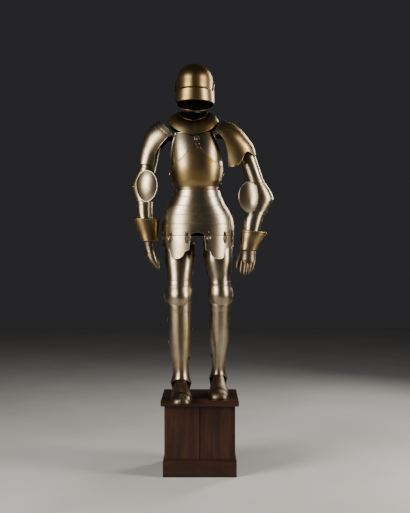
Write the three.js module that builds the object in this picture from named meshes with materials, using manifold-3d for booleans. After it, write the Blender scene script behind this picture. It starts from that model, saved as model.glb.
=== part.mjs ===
// Suit of plate armour standing on a wooden plinth.
// Millimetres, +Z up. +X is the armour's left, the armour faces -Y, and heights are above the floor.
// The origin is the centre of the plinth's underside.
//
// A plate is a wall on a form. A form is a smooth surface worked out from a short table of sections;
// a plate takes a range of angles and heights of it, lifted off it along its normal.

import * as THREE from "three";
import Module from "manifold-3d";

const wasm = await Module();
wasm.setup();

// ---------------------------------------------------------------- driving dimensions

const WALL = 2; // steel plate
const LAYER = 4.5; // lift of one plate over the plate that it overlaps
const SEAM = 0.2; // degrees that each side of a seam keeps back from it
const RIDGE_SPREAD = 16; // degrees over which a medial ridge fades

const PLINTH = {
  height: 388,
  base: 373,
  baseHeight: 88,
  body: 358,
  board: 18, // thickness of the hollow body's boards
  cap: 395,
  capHeight: 29,
  gap: 0.3,
};

const HELMET = {
  x: -28,
  turn: -4, // degrees towards the right hand
  spring: 2035, // where the dome starts
  crown: 2127,
  reach: 96, // half-angle of the visor
  pivotHeight: 2015,
  pivotRadius: 9,
  pivotRise: 5,
};

const SIDES = [
  { name: "right", hand: -1 },
  { name: "left", hand: 1 },
];

// ---------------------------------------------------------------- tables and forms

/** Rows of numbers as objects with named columns. */
const table = (columns, ...rows) =>
  rows.map((row) => Object.fromEntries(columns.split(" ").map((name, i) => [name, row[i]])));

const mix = (a, b, t) => a + (b - a) * t;
const radians = THREE.MathUtils.degToRad;
const wrap = (angle) => THREE.MathUtils.euclideanModulo(angle + 180, 360) - 180;
const valueOf = (value, ...args) => (typeof value === "function" ? value(...args) : value);

/** Smooth value of one column of a table at a place along its key column. */
function track(rows, key, column, place) {
  const last = rows.length - 1;
  const sign = rows[last][key] > rows[0][key] ? 1 : -1;
  let i = 0;
  while (i < last - 1 && sign * (place - rows[i + 1][key]) > 0) i += 1;
  const slope = (p, q) => (rows[q][column] - rows[p][column]) / (rows[q][key] - rows[p][key]);
  const span = rows[i + 1][key] - rows[i][key];
  const t = THREE.MathUtils.clamp((place - rows[i][key]) / span, 0, 1);
  const here = slope(i, i + 1);
  const before = i > 0 ? slope(i - 1, i + 1) : here;
  const after = i < last - 1 ? slope(i, i + 2) : here;
  const [t2, t3] = [t * t, t * t * t];
  return (
    rows[i][column] * (2 * t3 - 3 * t2 + 1) +
    before * span * (t3 - 2 * t2 + t) +
    rows[i + 1][column] * (3 * t2 - 2 * t3) +
    after * span * (t3 - t2)
  );
}

/** An edge: its height as a smooth function of the angle from the front, the same on both sides. */
const evenEdge = (rows) => (angle) => track(rows, "at", "z", Math.abs(wrap(angle)));

/** Distance from the centre of an oval to its outline. */
const ovalRadius = (sine, cosine, half, depth, power) =>
  (Math.abs(sine / half) ** power + Math.abs(cosine / depth) ** power) ** (-1 / power);

/** Upright form: horizontal sections, angle 0 at the front (-Y), 90 at +X, with an optional front ridge. */
const uprightForm = (rows) => (angle, z) => {
  const at = (column) => track(rows, "z", column, z);
  const [sine, cosine] = [Math.sin(radians(angle)), Math.cos(radians(angle))];
  const depth = cosine > 0 ? at("front") : at("back");
  const ridge = at("ridge") * Math.exp(-((wrap(angle) / RIDGE_SPREAD) ** 2));
  const reach = ovalRadius(sine, cosine, at("half"), depth, at("power")) + ridge;
  return new THREE.Vector3(at("x") + sine * reach, at("y") - cosine * reach, z);
};

/** Upright form that closes in an elliptical cap from its spring line to its crown. */
const domeForm = (rows, spring, crown) => {
  const walls = uprightForm(rows);
  return (angle, height) => {
    if (height <= spring) return walls(angle, height);
    const arc = radians((90 * (height - spring)) / (crown - spring));
    const point = walls(angle, spring);
    const centre = new THREE.Vector3(0, 0, spring);
    point.sub(centre).multiplyScalar(Math.cos(arc)).add(centre);
    point.z = spring + (crown - spring) * Math.sin(arc);
    return point;
  };
};

/** Shoulder form: sections along a line from the neck out and down the arm. Angle 0 is outward and up,
 *  90 is the front (-Y). */
const shoulderForm = (rows, hand) => (angle, step) => {
  const at = (column) => track(rows, "step", column, step);
  const [sine, cosine] = [Math.sin(radians(angle)), Math.cos(radians(angle))];
  const depth = sine > 0 ? at("fore") : at("aft");
  const reach = ovalRadius(sine, cosine, depth, at("rise"), 2);
  const tilt = radians(at("tilt"));
  const x = at("x") + Math.cos(tilt) * cosine * reach;
  return new THREE.Vector3(hand * x, at("y") - sine * reach, at("z") + Math.sin(tilt) * cosine * reach);
};

/** Foot form: upright sections across the foot, angle 0 at the top, 90 at +X. */
const footForm = (rows, sole) => (angle, y) => {
  const at = (column) => track(rows, "y", column, y);
  const [sine, cosine] = [Math.sin(radians(angle)), Math.cos(radians(angle))];
  const ridge = at("ridge") * Math.exp(-((angle / RIDGE_SPREAD) ** 2));
  const reach = ovalRadius(sine, cosine, at("half"), at("top") - sole, 2.3) + ridge;
  return new THREE.Vector3(at("x") + sine * reach, y, sole + cosine * reach);
};

/** Dished oval form: angle round the rim, way 0 at the rim to 1 at the centre. It faces -Y. */
const dishForm = ({ half, above, below, depth, point = 0 }) => (angle, way) => {
  const [sine, cosine] = [Math.sin(radians(angle)), Math.cos(radians(angle))];
  const out = 1 - way;
  const tall = cosine > 0 ? above : below + point * Math.max(0, -cosine) ** 6;
  return new THREE.Vector3(sine * half * out, -depth * (1 - out * out), cosine * tall * out);
};

// ---------------------------------------------------------------- walls

/** The unit normal of a form, by small differences. */
function normalOf(form, angle, place, hand, step) {
  const along = form(angle + 0.5, place).sub(form(angle - 0.5, place));
  const across = form(angle, place + step).sub(form(angle, place - step));
  return along.cross(across).normalize().multiplyScalar(hand);
}

/** A closed wall on a form. from and to are angles, or functions of the way up; low and high are places
 *  along the form, or functions of the angle; pole closes the high end in one point. */
function plate(form, shape) {
  const { from, to, low, high, columns, rows } = shape;
  const { lift = 0, wall = WALL, pole = false, hand = 1, step = 0.5 } = shape;
  const ring = Math.abs(valueOf(to, 0) - valueOf(from, 0)) >= 360;
  const across = ring ? columns : columns + 1;
  const levels = pole ? rows : rows + 1;
  const points = { inner: [], outer: [] };
  for (let j = 0; j < levels; j += 1) {
    const v = j / rows;
    for (let i = 0; i < across; i += 1) {
      const angle = mix(valueOf(from, v), valueOf(to, v), i / columns);
      const place = mix(valueOf(low, angle), valueOf(high, angle), v);
      const normal = normalOf(form, angle, place, hand, step);
      const raise = valueOf(lift, v, angle);
      points.inner.push(form(angle, place).addScaledVector(normal, raise));
      points.outer.push(form(angle, place).addScaledVector(normal, raise + wall));
    }
  }
  if (pole) {
    const end = new THREE.Vector3();
    const normal = new THREE.Vector3();
    const inward = Math.sign(valueOf(low, 0) - valueOf(high, 0));
    for (let i = 0; i < columns; i += 1) {
      const angle = mix(valueOf(from, 1), valueOf(to, 1), (i + 0.5) / columns);
      end.addScaledVector(form(angle, valueOf(high, angle)), 1 / columns);
      normal.add(normalOf(form, angle, valueOf(high, angle) + 4 * inward * step, hand, step));
    }
    normal.normalize();
    const raise = valueOf(lift, 1, 0);
    points.inner.push(end.clone().addScaledVector(normal, raise));
    points.outer.push(end.clone().addScaledVector(normal, raise + wall));
  }
  return closedWall(points, { across, levels, ring, pole });
}

/** Joins an inner and an outer grid of points into one closed body. */
function closedWall({ inner, outer }, { across, levels, ring, pole }) {
  const count = outer.length;
  const index = [];
  const quad = (a, b, c, d) => index.push(a, b, c, a, c, d);
  const at = (i, j) => j * across + (i % across);
  const spans = ring ? across : across - 1;
  for (let j = 0; j < levels - 1; j += 1) {
    for (let i = 0; i < spans; i += 1) {
      quad(at(i, j), at(i + 1, j), at(i + 1, j + 1), at(i, j + 1));
      quad(count + at(i, j), count + at(i, j + 1), count + at(i + 1, j + 1), count + at(i + 1, j));
    }
    if (!ring) {
      quad(at(0, j), at(0, j + 1), count + at(0, j + 1), count + at(0, j));
      quad(at(spans, j + 1), at(spans, j), count + at(spans, j), count + at(spans, j + 1));
    }
  }
  const top = levels - 1;
  for (let i = 0; i < spans; i += 1) {
    quad(at(i + 1, 0), at(i, 0), count + at(i, 0), count + at(i + 1, 0));
    if (pole) {
      index.push(at(i, top), at(i + 1, top), count - 1);
      index.push(count + at(i + 1, top), count + at(i, top), 2 * count - 1);
    } else {
      quad(at(i, top), at(i + 1, top), count + at(i + 1, top), count + at(i, top));
    }
  }
  if (pole && !ring) {
    quad(at(0, top), count - 1, 2 * count - 1, count + at(0, top));
    quad(count - 1, at(spans, top), count + at(spans, top), 2 * count - 1);
  }
  return facingOut([...outer, ...inner], index);
}

/** A geometry from points and triangles, turned so that its faces point out. */
function facingOut(points, index) {
  let volume = 0;
  for (let i = 0; i < index.length; i += 3) {
    const [a, b, c] = [points[index[i]], points[index[i + 1]], points[index[i + 2]]];
    volume += a.dot(b.clone().cross(c));
  }
  const order = volume < 0 ? index.slice().reverse() : index;
  const geometry = new THREE.BufferGeometry().setFromPoints(points);
  return geometry.setIndex(order);
}

/** The union of closed geometries. */
function joined(...geometries) {
  const solids = geometries.map((geometry) => {
    const vertProperties = Float32Array.from(geometry.attributes.position.array);
    const triVerts = Uint32Array.from(geometry.index.array);
    return new wasm.Manifold(new wasm.Mesh({ numProp: 3, vertProperties, triVerts }));
  });
  const whole = solids.reduce((sum, solid) => sum.add(solid)).getMesh();
  const geometry = new THREE.BufferGeometry();
  geometry.setAttribute("position", new THREE.BufferAttribute(Float32Array.from(whole.vertProperties), 3));
  return geometry.setIndex(Array.from(whole.triVerts));
}

/** A closed n-sided disc with its axis along X. */
function disc(radius, length, sides) {
  const ring = (x) =>
    Array.from({ length: sides }, (_, i) => {
      const angle = (2 * Math.PI * i) / sides;
      return new THREE.Vector3(x, radius * Math.cos(angle), radius * Math.sin(angle));
    });
  const points = [...ring(-length / 2), ...ring(length / 2)];
  const index = [];
  for (let i = 0; i < sides; i += 1) {
    const next = (i + 1) % sides;
    index.push(i, next, sides + next, i, sides + next, sides + i);
    if (i > 1) index.push(0, i, i - 1, sides, sides + i - 1, sides + i);
  }
  return facingOut(points, index);
}

// ---------------------------------------------------------------- finishes

const finish = (color, roughness, metalness) =>
  new THREE.MeshStandardMaterial({ color, roughness, metalness });
const FINISHES = {
  bright: finish(0xb9b2a2, 0.34, 1),
  patina: finish(0x9b8961, 0.42, 1),
  brown: finish(0x7c6a55, 0.5, 1),
  leather: finish(0x2a1c14, 0.7, 0),
  wood: finish(0x5a2d1d, 0.45, 0),
};

const SECTION = "z x y half front back power ridge";

const root = new THREE.Group();
const groups = {};
for (const name of ["plinth", "helmet", "torso", "skirt", "arms", "legs"]) {
  groups[name] = new THREE.Group();
  root.add(groups[name]);
}

function piece(group, name, geometry, material) {
  const mesh = new THREE.Mesh(geometry, FINISHES[material]);
  mesh.name = name;
  groups[group].add(mesh);
  return mesh;
}

// ---------------------------------------------------------------- plinth

function block(width, height, bottom, name) {
  const mesh = piece("plinth", name, new THREE.BoxGeometry(width, width, height), "wood");
  mesh.position.set(0, 0, bottom + height / 2);
}

function boardBox(name, bottom, height) {
  const outer = PLINTH.body / 2;
  const inner = outer - PLINTH.board;
  const square = (reach) => [[-reach, -reach], [reach, -reach], [reach, reach], [-reach, reach]];
  const toPoints = (corners) => corners.map(([x, y]) => new THREE.Vector2(x, y));
  const outline = new THREE.Shape(toPoints(square(outer)));
  outline.holes.push(new THREE.Path(toPoints(square(inner))));
  const geometry = new THREE.ExtrudeGeometry(outline, { depth: height, bevelEnabled: false });
  piece("plinth", name, geometry, "wood").position.set(0, 0, bottom);
}

function buildPlinth() {
  const capBottom = PLINTH.height - PLINTH.capHeight;
  const bodyBottom = PLINTH.baseHeight + PLINTH.gap;
  block(PLINTH.base, PLINTH.baseHeight, 0, "plinth_base");
  boardBox("plinth_body", bodyBottom, capBottom - PLINTH.gap - bodyBottom);
  block(PLINTH.cap, PLINTH.capHeight, capBottom, "plinth_cap");
}

// ---------------------------------------------------------------- helmet

const SKULL = table(SECTION,
  [1905, 0, 8, 101, 122, 146, 2.2, 0],
  [1930, 0, 5, 98, 123, 128, 2.2, 0],
  [1965, 0, 2, 96, 123, 113, 2.2, 1],
  [2000, 0, 0, 95, 121, 107, 2.1, 2],
  [2035, 0, 0, 94, 117, 105, 2.1, 3],
);

const SKULL_RIM = table("at z",
  [0, 1988], [40, 1987], [56, 1970], [70, 1935], [90, 1924], [140, 1914], [180, 1908]);
const VISOR_TOP = table("at z", [0, 1981], [45, 1978], [68, 1977], [78, 1998], [86, 2031], [97, 2031]);
const VISOR_LOW = table("at z", [0, 1924], [45, 1920], [75, 1921], [86, 1960], [97, 1996]);

function buildHelmet() {
  const form = domeForm(SKULL, HELMET.spring, HELMET.crown);
  const skull = { from: -180, to: 180, low: evenEdge(SKULL_RIM), high: HELMET.crown, pole: true };
  piece("helmet", "sallet_skull", plate(form, { ...skull, columns: 20, rows: 5 }), "patina");

  const lift = LAYER + 1;
  const visor = plate(form, {
    from: -HELMET.reach, to: HELMET.reach, low: evenEdge(VISOR_LOW), high: evenEdge(VISOR_TOP),
    columns: 18, rows: 2, lift,
  });
  const heads = [-1, 1].map((side) => {
    const face = side * (form(90, HELMET.pivotHeight).x + lift + WALL);
    const head = disc(HELMET.pivotRadius, HELMET.pivotRise, 12);
    return head.translate(face, 0, HELMET.pivotHeight);
  });
  piece("helmet", "sallet_visor", joined(visor, ...heads), "patina");
  groups.helmet.position.x = HELMET.x;
  groups.helmet.rotation.z = radians(HELMET.turn);
}

// ---------------------------------------------------------------- torso

const CHEST = table(SECTION,
  [1440, -15, 0, 106, 104, 80, 2.3, 0],
  [1477, -16, 0, 106, 104, 80, 2.3, 0],
  [1512, -17, 0, 121, 118, 92, 2.3, 0],
  [1576, -18, 0, 134, 132, 108, 2.3, 0],
  [1640, -22, 0, 137, 128, 116, 2.3, 0],
  [1700, -25, 0, 134, 114, 118, 2.3, 0],
  [1750, -28, 0, 126, 97, 110, 2.3, 0],
  [1800, -33, 0, 110, 78, 96, 2.3, 0],
);

const PLACKART_TOP = table("at z",
  [0, 1717], [6, 1700], [15, 1664], [24, 1636], [35, 1612], [53, 1592], [84, 1572]);
const PLACKART_LOW = table("at z", [0, 1461], [50, 1465], [84, 1478]);
const GORGET_LOW = table("at z", [0, 1742], [30, 1758], [60, 1792], [90, 1826], [130, 1780], [180, 1750]);
const GORGET_NECK = table("at z", [0, 1818], [50, 1840], [90, 1874], [180, 1890]);
const GORGET = { x: -35, y: 0, half: 133, front: 112, back: 112, neckHalf: 73, neckDepth: 70, swell: 8 };

const gorgetLow = evenEdge(GORGET_LOW);
const gorgetNeck = evenEdge(GORGET_NECK);

/** Neck form: way 0 at the lower edge to 1 at the neck opening. */
function gorgetForm(angle, way) {
  const [sine, cosine] = [Math.sin(radians(angle)), Math.cos(radians(angle))];
  const base = ovalRadius(sine, cosine, GORGET.half, cosine > 0 ? GORGET.front : GORGET.back, 2.2);
  const neck = ovalRadius(sine, cosine, GORGET.neckHalf, GORGET.neckDepth, 2);
  const swell = GORGET.swell * Math.sin(Math.PI * way);
  const reach = mix(base, neck, way) + swell;
  const z = mix(gorgetLow(angle), gorgetNeck(angle), way) + swell;
  return new THREE.Vector3(GORGET.x + sine * reach, GORGET.y - cosine * reach, z);
}

function buildTorso() {
  const form = uprightForm(CHEST);
  const arm = table("at z", [1450, 86], [1585, 86], [1635, 66], [1695, 60], [1775, 54]);
  const armhole = ({ low, high }) => (v) => track(arm, "at", "z", mix(low, high, v));
  const front = { low: 1530, high: 1757, columns: 12, rows: 5 };
  const frontEdges = { from: (v) => -armhole(front)(v), to: armhole(front) };
  piece("torso", "breastplate", plate(form, { ...front, ...frontEdges }), "bright");
  const back = { low: 1450, high: 1775, columns: 12, rows: 5 };
  const backEdges = { from: (v) => 180 - armhole(back)(v), to: (v) => 180 + armhole(back)(v) };
  piece("torso", "backplate", plate(form, { ...back, ...backEdges }), "bright");
  piece("torso", "plackart", plate(form, {
    from: -84, to: 84, low: evenEdge(PLACKART_LOW), high: evenEdge(PLACKART_TOP), columns: 18, rows: 4,
    lift: LAYER + 0.5,
  }), "patina");
  piece("torso", "breast_strap", plate(form, {
    from: 3, to: 9, low: 1660, high: 1736, columns: 1, rows: 2, lift: 2 * LAYER + 0.5, wall: 3,
  }), "leather");
  const collar = { low: 0, high: 1, rows: 3, step: 0.01, columns: 12 };
  piece("torso", "gorget_front", plate(gorgetForm, {
    ...collar, from: -90 + SEAM, to: 90 - SEAM,
  }), "patina");
  piece("torso", "gorget_back", plate(gorgetForm, {
    ...collar, from: 90 + SEAM, to: 270 - SEAM,
  }), "patina");
}

// ---------------------------------------------------------------- skirt

const SKIRT = table(SECTION,
  [1475, -16, 0, 110, 108, 84, 2.1, 0],
  [1420, -16, 0, 129, 117, 102, 2.1, 0],
  [1374, -16, 0, 153, 126, 122, 2.1, 0],
  [1345, -14, 0, 169, 132, 132, 2.1, 0],
  [1300, -11, 0, 182, 141, 140, 2.1, 0],
  [1225, -11, 0, 188, 150, 146, 2.1, 0],
  [1150, -12, 0, 188, 152, 148, 2.1, 0],
  [1090, -12, 0, 187, 152, 148, 2.1, 0],
);

const FAULD_ARCH = table("at z", [0, 1241], [5, 1238], [9, 1230], [13, 1226], [88, 1226]);
const LAMES = table("name low high from to columns",
  ["fauld_lame_1", 1410, 1459, -88, 88, 12],
  ["fauld_lame_2", 1365, 1420, -88, 88, 12],
  ["fauld_lame_3", 1319, 1375, -88, 88, 12],
  ["fauld_lame_4", 1271, 1329, -88, 88, 12],
  ["fauld_lame_5", evenEdge(FAULD_ARCH), 1281, -88, 88, 22],
  ["culet_lame_1", 1373, 1444, 92, 268, 10],
  ["culet_lame_2", 1300, 1383, 92, 268, 10],
  ["culet_lame_3", 1226, 1310, 92, 268, 10],
);

const TASSET = { top: 1223, innerTop: 12.5, innerLow: 15, outer: 80 };
const TASSET_LOW = table("at z",
  [12, 1149], [23, 1142], [28, 1118], [34, 1107], [40, 1104], [46, 1105], [50, 1112], [54, 1146], [62, 1163],
  [80, 1172]);
const STRAPS = table("name at", ["inner", 21], ["middle", 53], ["outer", 72]);
const STRAP = { high: 1215, low: 1180, spread: 2.4, wall: 3 };

function buildSkirt() {
  const form = uprightForm(SKIRT);
  for (const { name, ...lame } of LAMES) {
    piece("skirt", name, plate(form, { ...lame, rows: 2, lift: (v) => LAYER * v }), "bright");
  }
  for (const { name, hand } of SIDES) {
    const inner = (v) => hand * mix(TASSET.innerLow, TASSET.innerTop, v);
    const outer = hand * TASSET.outer;
    const edges = hand > 0 ? { from: inner, to: outer } : { from: outer, to: inner };
    piece("skirt", `tasset_${name}`, plate(form, {
      ...edges, low: evenEdge(TASSET_LOW), high: TASSET.top, columns: 17, rows: 1,
    }), "bright");
    for (const strap of STRAPS) {
      const middle = hand * strap.at;
      piece("skirt", `tasset_strap_${strap.name}_${name}`, plate(form, {
        from: middle - STRAP.spread / 2, to: middle + STRAP.spread / 2, low: STRAP.low, high: STRAP.high,
        columns: 1, rows: 1, lift: WALL + 1.2, wall: STRAP.wall,
      }), "leather");
    }
  }
}

// ---------------------------------------------------------------- arms

const SHOULDER = "step x y z tilt rise fore aft";
const ARMS = {
  right: {
    shoulder: table(SHOULDER,
      [0, 137, 0, 1745, 48, 113, 76, 80],
      [1, 165, 0, 1735, 40, 106, 80, 84],
      [2, 195, 0, 1715, 27, 97, 76, 80],
      [3, 225, 0, 1690, 14, 78, 68, 72],
      [4, 250, 0, 1655, 9, 64, 60, 62],
      [5, 266, 0, 1612, 8, 56, 56, 56],
      [6, 272, 0, 1580, 8, 53, 54, 54],
    ),
    upperLames: { low: 0, high: 0.95, from: -92, to: 92 },
    main: { low: 0.8, high: [[-100, 5.2], [0, 5.4], [60, 5.6], [100, 5.4]], from: [-85, -118], to: [88, 118] },
    form: table(SECTION,
      [1700, -252, 0, 44, 44, 44, 2, 0],
      [1624, -267, 0, 44, 44, 44, 2, 0],
      [1540, -282, 0, 42, 42, 42, 2, 0],
      [1482, -292, 0, 44, 42, 48, 2, 0],
      [1408, -291, -6, 41, 41, 44, 2, 0],
      [1340, -289, -14, 38, 38, 38, 2, 0],
      [1260, -275, -22, 33, 33, 33, 2, 0],
      [1197, -263, -28, 33, 33, 33, 2, 0],
    ),
    elbow: table(SECTION,
      [1560, -282, 0, 50, 50, 52, 2, 0],
      [1520, -289, 0, 60, 55, 62, 2, 0],
      [1482, -293, 0, 65, 58, 72, 2, 0],
      [1440, -293, -2, 59, 56, 62, 2, 0],
      [1405, -291, -6, 50, 51, 53, 2, 0],
    ),
    fan: { x: -276, y: -70, z: 1483, turn: -24, half: 61, above: 78, below: 76, depth: 16, point: 6 },
    upperCannon: { low: 1556, high: 1690 },
    lowerCannon: { low: 1292, high: 1402 },
    cuff: table(SECTION,
      [1322, -285, -16, 69, 62, 62, 2.1, 0],
      [1290, -280, -18, 62, 56, 56, 2.1, 0],
      [1240, -270, -23, 50, 46, 46, 2.1, 0],
      [1197, -263, -28, 42, 40, 40, 2.1, 0],
    ),
    cuffEdge: { low: 1199, high: 1310, slant: 0 },
    hand: table(SECTION,
      [1200, -262, -28, 35, 33, 33, 2, 0],
      [1160, -259, -34, 30, 42, 40, 2, 0],
      [1120, -249, -40, 26, 44, 40, 2, 0],
      [1085, -229, -46, 22, 40, 36, 2, 0],
      [1060, -206, -50, 17, 32, 30, 2, 0],
      [1048, -198, -52, 9, 19, 19, 2, 0],
    ),
    handSpan: { from: -195, to: 20, low: 1050, high: 1192 },
    thumb: table(SECTION,
      [1150, -240, -66, 11, 11, 11, 2, 0],
      [1100, -224, -84, 10, 10, 10, 2, 0],
      [1066, -212, -88, 8, 8, 8, 2, 0],
    ),
  },
  left: {
    shoulder: table(SHOULDER,
      [0, 83, 0, 1755, 64, 87, 92, 84],
      [1, 118, 0, 1745, 50, 84, 100, 88],
      [2, 150, 0, 1720, 36, 86, 102, 86],
      [3, 172, 0, 1692, 26, 88, 98, 78],
      [4, 190, 0, 1665, 22, 90, 92, 72],
      [5, 203, 0, 1632, 20, 88, 86, 66],
      [6, 214, 0, 1596, 18, 84, 80, 60],
    ),
    upperLames: { low: 0, high: 0.9, from: -92, to: 94 },
    main: {
      low: 0.75, high: [[-118, 4.8], [-40, 5.2], [30, 5.3], [62, 4.7], [96, 5.9], [118, 6], [140, 5.6]],
      from: [-85, -118], to: [92, 138],
    },
    form: table(SECTION,
      [1700, 228, 0, 42, 42, 42, 2, 0],
      [1622, 254, 0, 43, 43, 43, 2, 0],
      [1507, 293, 0, 42, 42, 42, 2, 0],
      [1420, 314, 0, 44, 42, 48, 2, 0],
      [1360, 297, -6, 46, 43, 45, 2, 0],
      [1307, 279, -12, 47, 43, 43, 2, 0],
      [1230, 267, -18, 38, 35, 35, 2, 0],
      [1150, 254, -24, 33, 31, 31, 2, 0],
    ),
    elbow: table(SECTION,
      [1500, 294, 0, 50, 50, 52, 2, 0],
      [1460, 307, 0, 60, 55, 62, 2, 0],
      [1420, 316, 0, 65, 58, 72, 2, 0],
      [1385, 309, -2, 60, 56, 62, 2, 0],
      [1350, 296, -6, 54, 53, 54, 2, 0],
    ),
    fan: { x: 256, y: -70, z: 1425, turn: 24, half: 60, above: 77, below: 74, depth: 16, point: 6 },
    upperCannon: { low: 1500, high: 1690 },
    lowerCannon: { low: 1225, high: 1344 },
    cuff: table(SECTION,
      [1262, 286, -14, 72, 64, 64, 2.1, 0],
      [1225, 277, -18, 63, 57, 57, 2.1, 0],
      [1185, 263, -22, 50, 46, 46, 2.1, 0],
      [1150, 254, -26, 43, 40, 40, 2.1, 0],
    ),
    cuffEdge: { low: 1152, high: 1247, slant: -9 },
    hand: table(SECTION,
      [1153, 254, -26, 36, 33, 33, 2, 0],
      [1115, 251, -32, 38, 36, 34, 2, 0],
      [1075, 247, -38, 37, 34, 30, 2, 0],
      [1040, 241, -44, 32, 28, 24, 2, 0],
      [1016, 234, -48, 17, 13, 12, 2, 0],
    ),
    handSpan: { from: -75, to: 140, low: 1018, high: 1145 },
    thumb: table(SECTION,
      [1140, 218, -38, 11, 11, 11, 2, 0],
      [1085, 198, -54, 11, 11, 11, 2, 0],
      [1048, 193, -60, 9, 9, 9, 2, 0],
    ),
  },
};

const ELBOW = { reach: 112, margin: 2 }; // half-angle of the cup, and what it keeps from its end sections

/** A value that changes with the way up, from [low, high]. */
const ramp = ([start, end]) => (v) => mix(start, end, v);
/** A place along the shoulder that changes with the angle, from rows of [angle, step]. */
const stepEdge = (rows) => (angle) => track(table("at z", ...rows), "at", "z", angle);

function buildArm({ name, hand }) {
  const arm = ARMS[name];
  const shoulder = shoulderForm(arm.shoulder, hand);
  const sweep = { hand, step: 0.01 };
  const { upperLames, main } = arm;
  const upper = plate(shoulder, { ...sweep, ...upperLames, columns: 10, rows: 1 });
  piece("arms", `spaudler_upper_${name}`, upper, "bright");
  piece("arms", `spaudler_main_${name}`, plate(shoulder, {
    ...sweep, low: main.low, high: stepEdge(main.high), from: ramp(main.from), to: ramp(main.to),
    columns: 12, rows: 4, lift: LAYER,
  }), name === "left" ? "patina" : "bright");

  const form = uprightForm(arm.form);
  const tube = { from: -180, to: 180, columns: 11, rows: 2 };
  piece("arms", `upper_cannon_${name}`, plate(form, { ...tube, ...arm.upperCannon }), "bright");
  piece("arms", `lower_cannon_${name}`, plate(form, { ...tube, ...arm.lowerCannon }), "bright");

  const cupRows = arm.elbow;
  const outward = hand * 90;
  const cup = plate(uprightForm(cupRows), {
    from: outward - ELBOW.reach, to: outward + ELBOW.reach, columns: 12, rows: 4,
    low: cupRows.at(-1).z + ELBOW.margin, high: cupRows[0].z - ELBOW.margin,
  });
  const { x, y, z, turn } = arm.fan;
  const fan = plate(dishForm(arm.fan), {
    from: 0, to: 360, low: 0, high: 1, columns: 14, rows: 2, pole: true, step: 0.01,
  });
  fan.rotateZ(radians(turn)).translate(x, y, z);
  piece("arms", `couter_${name}`, joined(cup, fan), "bright");

  const { low, high, slant } = arm.cuffEdge;
  const rim = (angle) => high + slant * Math.sin(radians(angle));
  piece("arms", `gauntlet_cuff_${name}`, plate(uprightForm(arm.cuff), { ...tube, low, high: rim }), "patina");
  const palm = plate(uprightForm(arm.hand), { ...arm.handSpan, columns: 10, rows: 4 });
  const thumb = plate(uprightForm(arm.thumb), {
    from: -180, to: 180, low: arm.thumb.at(-1).z, high: arm.thumb[0].z, columns: 6, rows: 2,
  });
  piece("arms", `gauntlet_hand_${name}`, joined(palm, thumb), "brown");
}

// ---------------------------------------------------------------- legs

const LEGS = {
  right: {
    form: table(SECTION,
      [1195, -105, -6, 78, 80, 80, 2.2, 0],
      [1100, -106, -26, 74, 80, 78, 2.2, 0],
      [1020, -107, -46, 63, 68, 66, 2.1, 1],
      [968, -108, -58, 57, 60, 58, 2.1, 1],
      [915, -108, -68, 54, 56, 54, 2.1, 1],
      [860, -107, -70, 53, 54, 56, 2.1, 2],
      [800, -106, -68, 57, 55, 68, 2, 3],
      [736, -105, -66, 58, 56, 74, 2, 3],
      [680, -104, -66, 55, 55, 70, 2, 3],
      [628, -102, -68, 50, 52, 60, 2, 3],
      [575, -100, -71, 42, 46, 48, 2, 3],
      [523, -98, -74, 39, 44, 42, 2, 2],
      [490, -98, -75, 43, 50, 44, 2, 1],
      [465, -98, -75, 51, 58, 50, 2, 0],
      [400, -98, -72, 46, 50, 58, 2, 0],
    ),
    arch: table("at z", [0, 489], [35, 482], [60, 466], [90, 461]),
    foot: table("y x half top ridge",
      [-300, -92, 6, 396, 0],
      [-294, -92, 26, 408, 2],
      [-277, -92, 42, 420, 3],
      [-248, -92, 49, 430, 3],
      [-208, -92, 51, 444, 3],
      [-170, -93, 49, 460, 3],
      [-132, -95, 46, 478, 2],
      [-100, -97, 43, 490, 0],
    ),
    bend: -230,
    wing: { x: -178, y: -52, z: 912, turn: 12 },
  },
  left: {
    form: table(SECTION,
      [1195, 93, 10, 76, 78, 80, 2.2, 0],
      [1100, 97, 4, 72, 78, 78, 2.2, 0],
      [1040, 100, 0, 62, 70, 68, 2.1, 1],
      [1003, 102, -4, 54, 62, 60, 2.1, 1],
      [920, 105, -10, 49, 54, 54, 2.1, 1],
      [860, 104, -6, 48, 52, 56, 2.1, 2],
      [800, 103, 2, 50, 53, 66, 2, 3],
      [736, 102, 10, 51, 54, 70, 2, 3],
      [680, 101, 18, 47, 52, 66, 2, 3],
      [628, 100, 26, 39, 46, 56, 2, 3],
      [575, 98, 33, 33, 42, 46, 2, 3],
      [523, 97, 38, 33, 42, 40, 2, 2],
      [495, 97, 40, 38, 48, 42, 2, 1],
      [473, 97, 40, 45, 56, 48, 2, 0],
      [400, 97, 44, 42, 50, 58, 2, 0],
    ),
    arch: table("at z", [0, 498], [35, 491], [60, 477], [90, 471]),
    foot: table("y x half top ridge",
      [-168, 99, 6, 396, 0],
      [-162, 99, 26, 409, 2],
      [-147, 99, 42, 422, 3],
      [-120, 98, 49, 434, 3],
      [-86, 98, 51, 450, 3],
      [-52, 97, 48, 468, 3],
      [-16, 97, 43, 490, 2],
      [14, 97, 38, 506, 0],
    ),
    bend: -106,
    wing: { x: 165, y: 6, z: 916, turn: -12 },
  },
};

const KNEE = table("name low high drop lift bulge reach rows",
  ["knee_lame_upper", 950, 992, 0, LAYER, 0, 98, 1],
  ["poleyn", 876, 966, 14, 2 * LAYER, 7, 104, 3],
  ["knee_lame_lower", 840, 884, 10, LAYER, 0, 98, 1],
);
const KNEE_POINT = 45; // degrees over which the lower edges rise from their point
// reach is a half-angle, gap the degrees between the front and the rear plate, and the trims are what the
// rear plate is shorter by.
const CUISSE = { low: 962, high: 1190, reach: 104, gap: 2, lowTrim: 28, highTrim: 20 };
const GREAVE = { high: 852, backHigh: 846, heel: 396 };
const SOLE_GAP = 0.5; // height of the sabatons' edges over the plinth
const WING = { half: 30, above: 34, below: 34, depth: 6 };

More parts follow.
